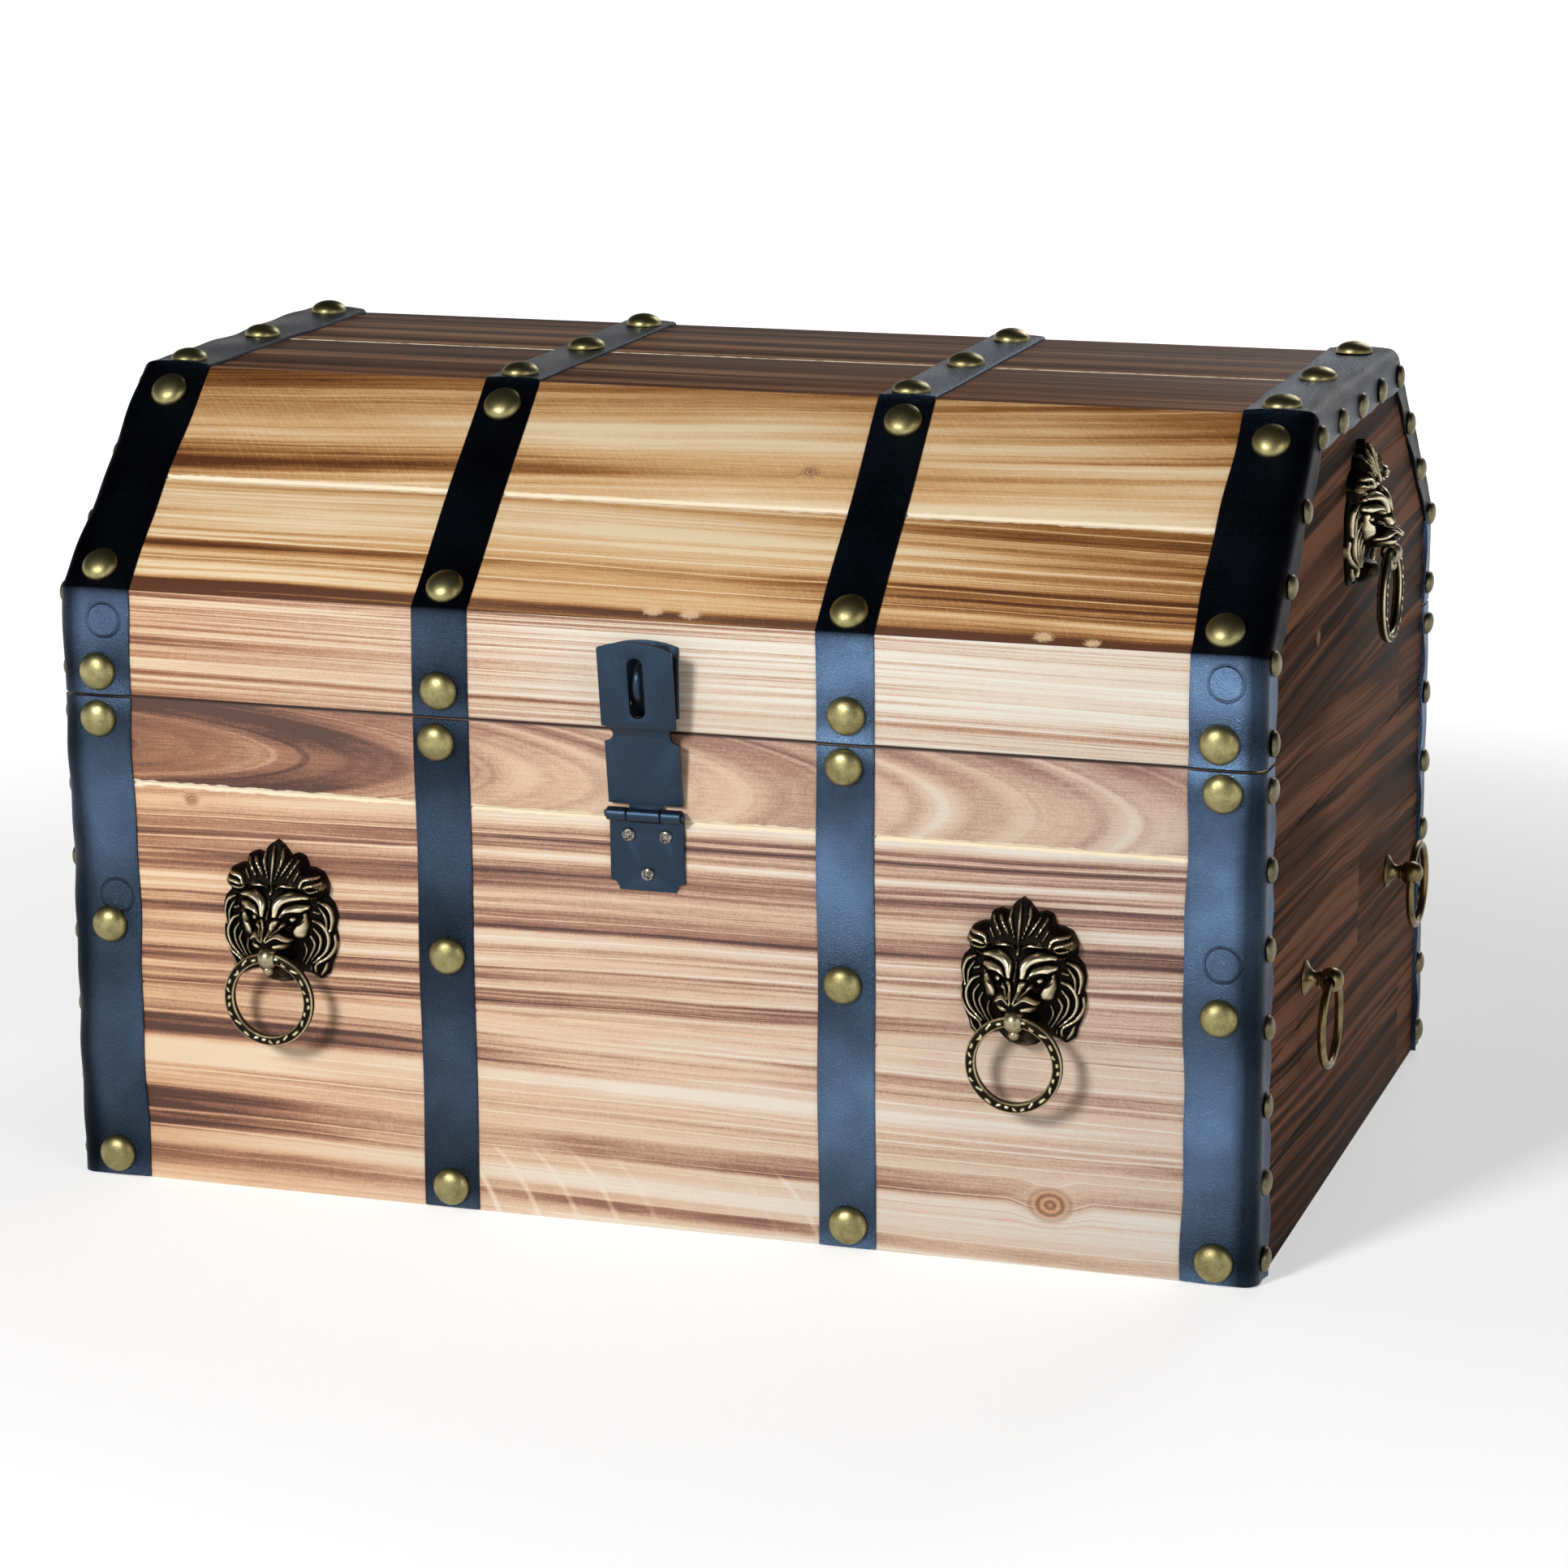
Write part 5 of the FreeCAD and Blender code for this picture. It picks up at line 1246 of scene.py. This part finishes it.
# The neck that ends in the ball, as (radius, distance before the ring's axis)
POST_NECK = [(2.4, 3.0), (1.2, 2.7)]


def ring_pulls(look):
    posts = []
    ball = pierced_ball(POST_BALL, POST_HOLE)
    for side, hand in SIDES:
        for _, face in FACES:
            node = f"{hand}_{face}_pull_ring"
            joint = JOINT_AT[f"{hand}_{face}_pull_swing"]
            centre = middle(np.array(span(node)))
            reach = abs(joint[0]) - HALF_LENGTH
            stem = lathe(POST_PROFILE + [(radius, reach - before) for radius, before in POST_NECK], 32)
            posts.append(placed(stem, facing((side * HALF_LENGTH, joint[1], joint[2]), (side, 0, 0))))
            lean = math.atan2(centre[1] - joint[1], joint[2] - centre[2])
            posts.append(placed(ball, moved(joint) @ Matrix.Rotation(lean, 4, "X") @ turned(90, "Z")))
            hoop = placed(round_ring(RING_RADIUS, PULL_BAR), moved(centre) @ turned(90, "Z"))
            piece(f"{node}_bar", hoop, look, node)
    piece("ring_posts_turned", joined(posts), look, "ring_posts")


# Floor, lights and camera


# How far the floor reaches, in metres, and its glow: from half at the first distance, in millimetres, to full
FLOOR_REACH = 30.0
FLOOR_GLOW = (300, 1200, 0.5, 1.0)
FLOOR_TONE = (0.8, 0.8, 0.8, 1.0)


def white_floor():
    """A wide matt floor that glows white where the camera or a reflection sees it, less so near the chest."""
    mesh = bpy.data.meshes.new("floor")
    corners = [(x * FLOOR_REACH, y * FLOOR_REACH, 0) for x, y in ((-1, -1), (1, -1), (1, 1), (-1, 1))]
    mesh.from_pydata(corners, [], [(0, 1, 2, 3)])
    floor = bpy.data.objects.new("floor", mesh)
    bpy.context.scene.collection.objects.link(floor)
    paint = Paint("floor_white")
    rays = paint.add("ShaderNodeLightPath").outputs
    seen = paint.math("MAXIMUM", rays["Is Camera Ray"], rays["Is Glossy Ray"])
    seen = paint.math("MAXIMUM", seen, rays["Is Transmission Ray"])
    glow = seen * paint.smooth(paint.measure("LENGTH", paint.place()), *FLOOR_GLOW)
    matt = paint.add("ShaderNodeBsdfDiffuse", {"Color": FLOOR_TONE})
    light = paint.add("ShaderNodeEmission", {"Strength": glow})
    both = paint.add("ShaderNodeAddShader", {0: matt.outputs[0], 1: light.outputs[0]})
    paint.add("ShaderNodeOutputMaterial", {"Surface": both.outputs[0]})
    mesh.materials.append(paint.owner)


# The world's brightness by height: white at the horizon, dark overhead
SKY = [(0.08, (1.0, 1.0, 1.0, 1)), (0.16, (0.5, 0.5, 0.5, 1)), (0.3, (0.07, 0.07, 0.07, 1)),
       (0.6, (0.01, 0.01, 0.012, 1))]
# Name, place, width and power of each lamp, in metres and watts
LAMPS = [("key", (-0.7, -2.1, 1.25), 0.5, 40), ("fill", (2.0, -1.5, 0.9), 1.2, 8),
         ("back", (0.4, 2.2, 1.3), 1.0, 12)]
LAMP_AIM = Vector((0, 0, 0.14))


def studio():
    scene = bpy.context.scene
    scene.view_settings.view_transform = "Standard"
    white_floor()
    paint = Paint("studio", "worlds")
    direction = paint.add("ShaderNodeTexCoord").outputs["Generated"]
    height = paint.add("ShaderNodeSeparateXYZ", {0: direction}).outputs["Z"]
    sky = paint.add("ShaderNodeBackground", {0: paint.ramp(height, SKY)})
    paint.add("ShaderNodeOutputWorld", {0: sky.outputs[0]})
    scene.world = paint.owner
    for name, place, wide, power in LAMPS:
        data = bpy.data.lights.new(name, "AREA")
        data.shape = "DISK"
        data.size = wide
        data.energy = power
        item = bpy.data.objects.new(name, data)
        item.location = place
        item.rotation_euler = (LAMP_AIM - Vector(place)).to_track_quat("-Z", "Y").to_euler()
        scene.collection.objects.link(item)


# Where the photograph was taken from, fitted to the chest's corners, in millimetres and pixels
CAMERA_PLACE = (532.26, -1617.32, 545.62)
CAMERA_RIGHT = (0.95100083, 0.30909413, -0.00763178)
CAMERA_DOWN = (0.06700357, -0.23012336, -0.97085208)
FOCAL_PIXELS = 5767.97
PHOTO_PIXELS = 1932
SENSOR = 36.0


def camera():
    data = bpy.data.cameras.new("camera")
    data.sensor_width = SENSOR
    data.lens = FOCAL_PIXELS / PHOTO_PIXELS * SENSOR
    data.clip_end = 100
    item = bpy.data.objects.new("camera", data)
    right = Vector(CAMERA_RIGHT)
    up = -Vector(CAMERA_DOWN)
    turn = Matrix((right, up, right.cross(up))).transposed()
    item.matrix_world = Matrix.Translation(Vector(CAMERA_PLACE) * MM) @ turn.to_4x4()
    bpy.context.scene.collection.objects.link(item)
    bpy.context.scene.camera = item


NAIL_LOOK = antique_brass("nail_brass", colour(164, 156, 110), colour(108, 100, 62), 0.34)
TACK_LOOK = antique_brass("tack_brass", colour(130, 122, 94), colour(76, 70, 52), 0.36)
PULL_LOOK = antique_brass("pull_brass", colour(146, 128, 88), colour(74, 62, 42), 0.28)
HINGE_LOOK = antique_brass("hinge_brass", colour(160, 140, 92), colour(96, 84, 52), 0.32)
MASK_LOOK = bronze("lion_bronze", colour(20, 17, 14), colour(112, 98, 72), colour(232, 222, 190))
RING_LOOK = bronze("ring_bronze", colour(30, 26, 20), colour(140, 126, 92), colour(236, 230, 196))

boards()
straps(vinyl())
caps("dome_nails", NAIL_LOOK)
caps("flange_tacks", TACK_LOOK)
screws(worn_steel())
hardware(black_paint(), HINGE_LOOK)
lions(MASK_LOOK, RING_LOOK)
ring_pulls(PULL_LOOK)
studio()
camera()
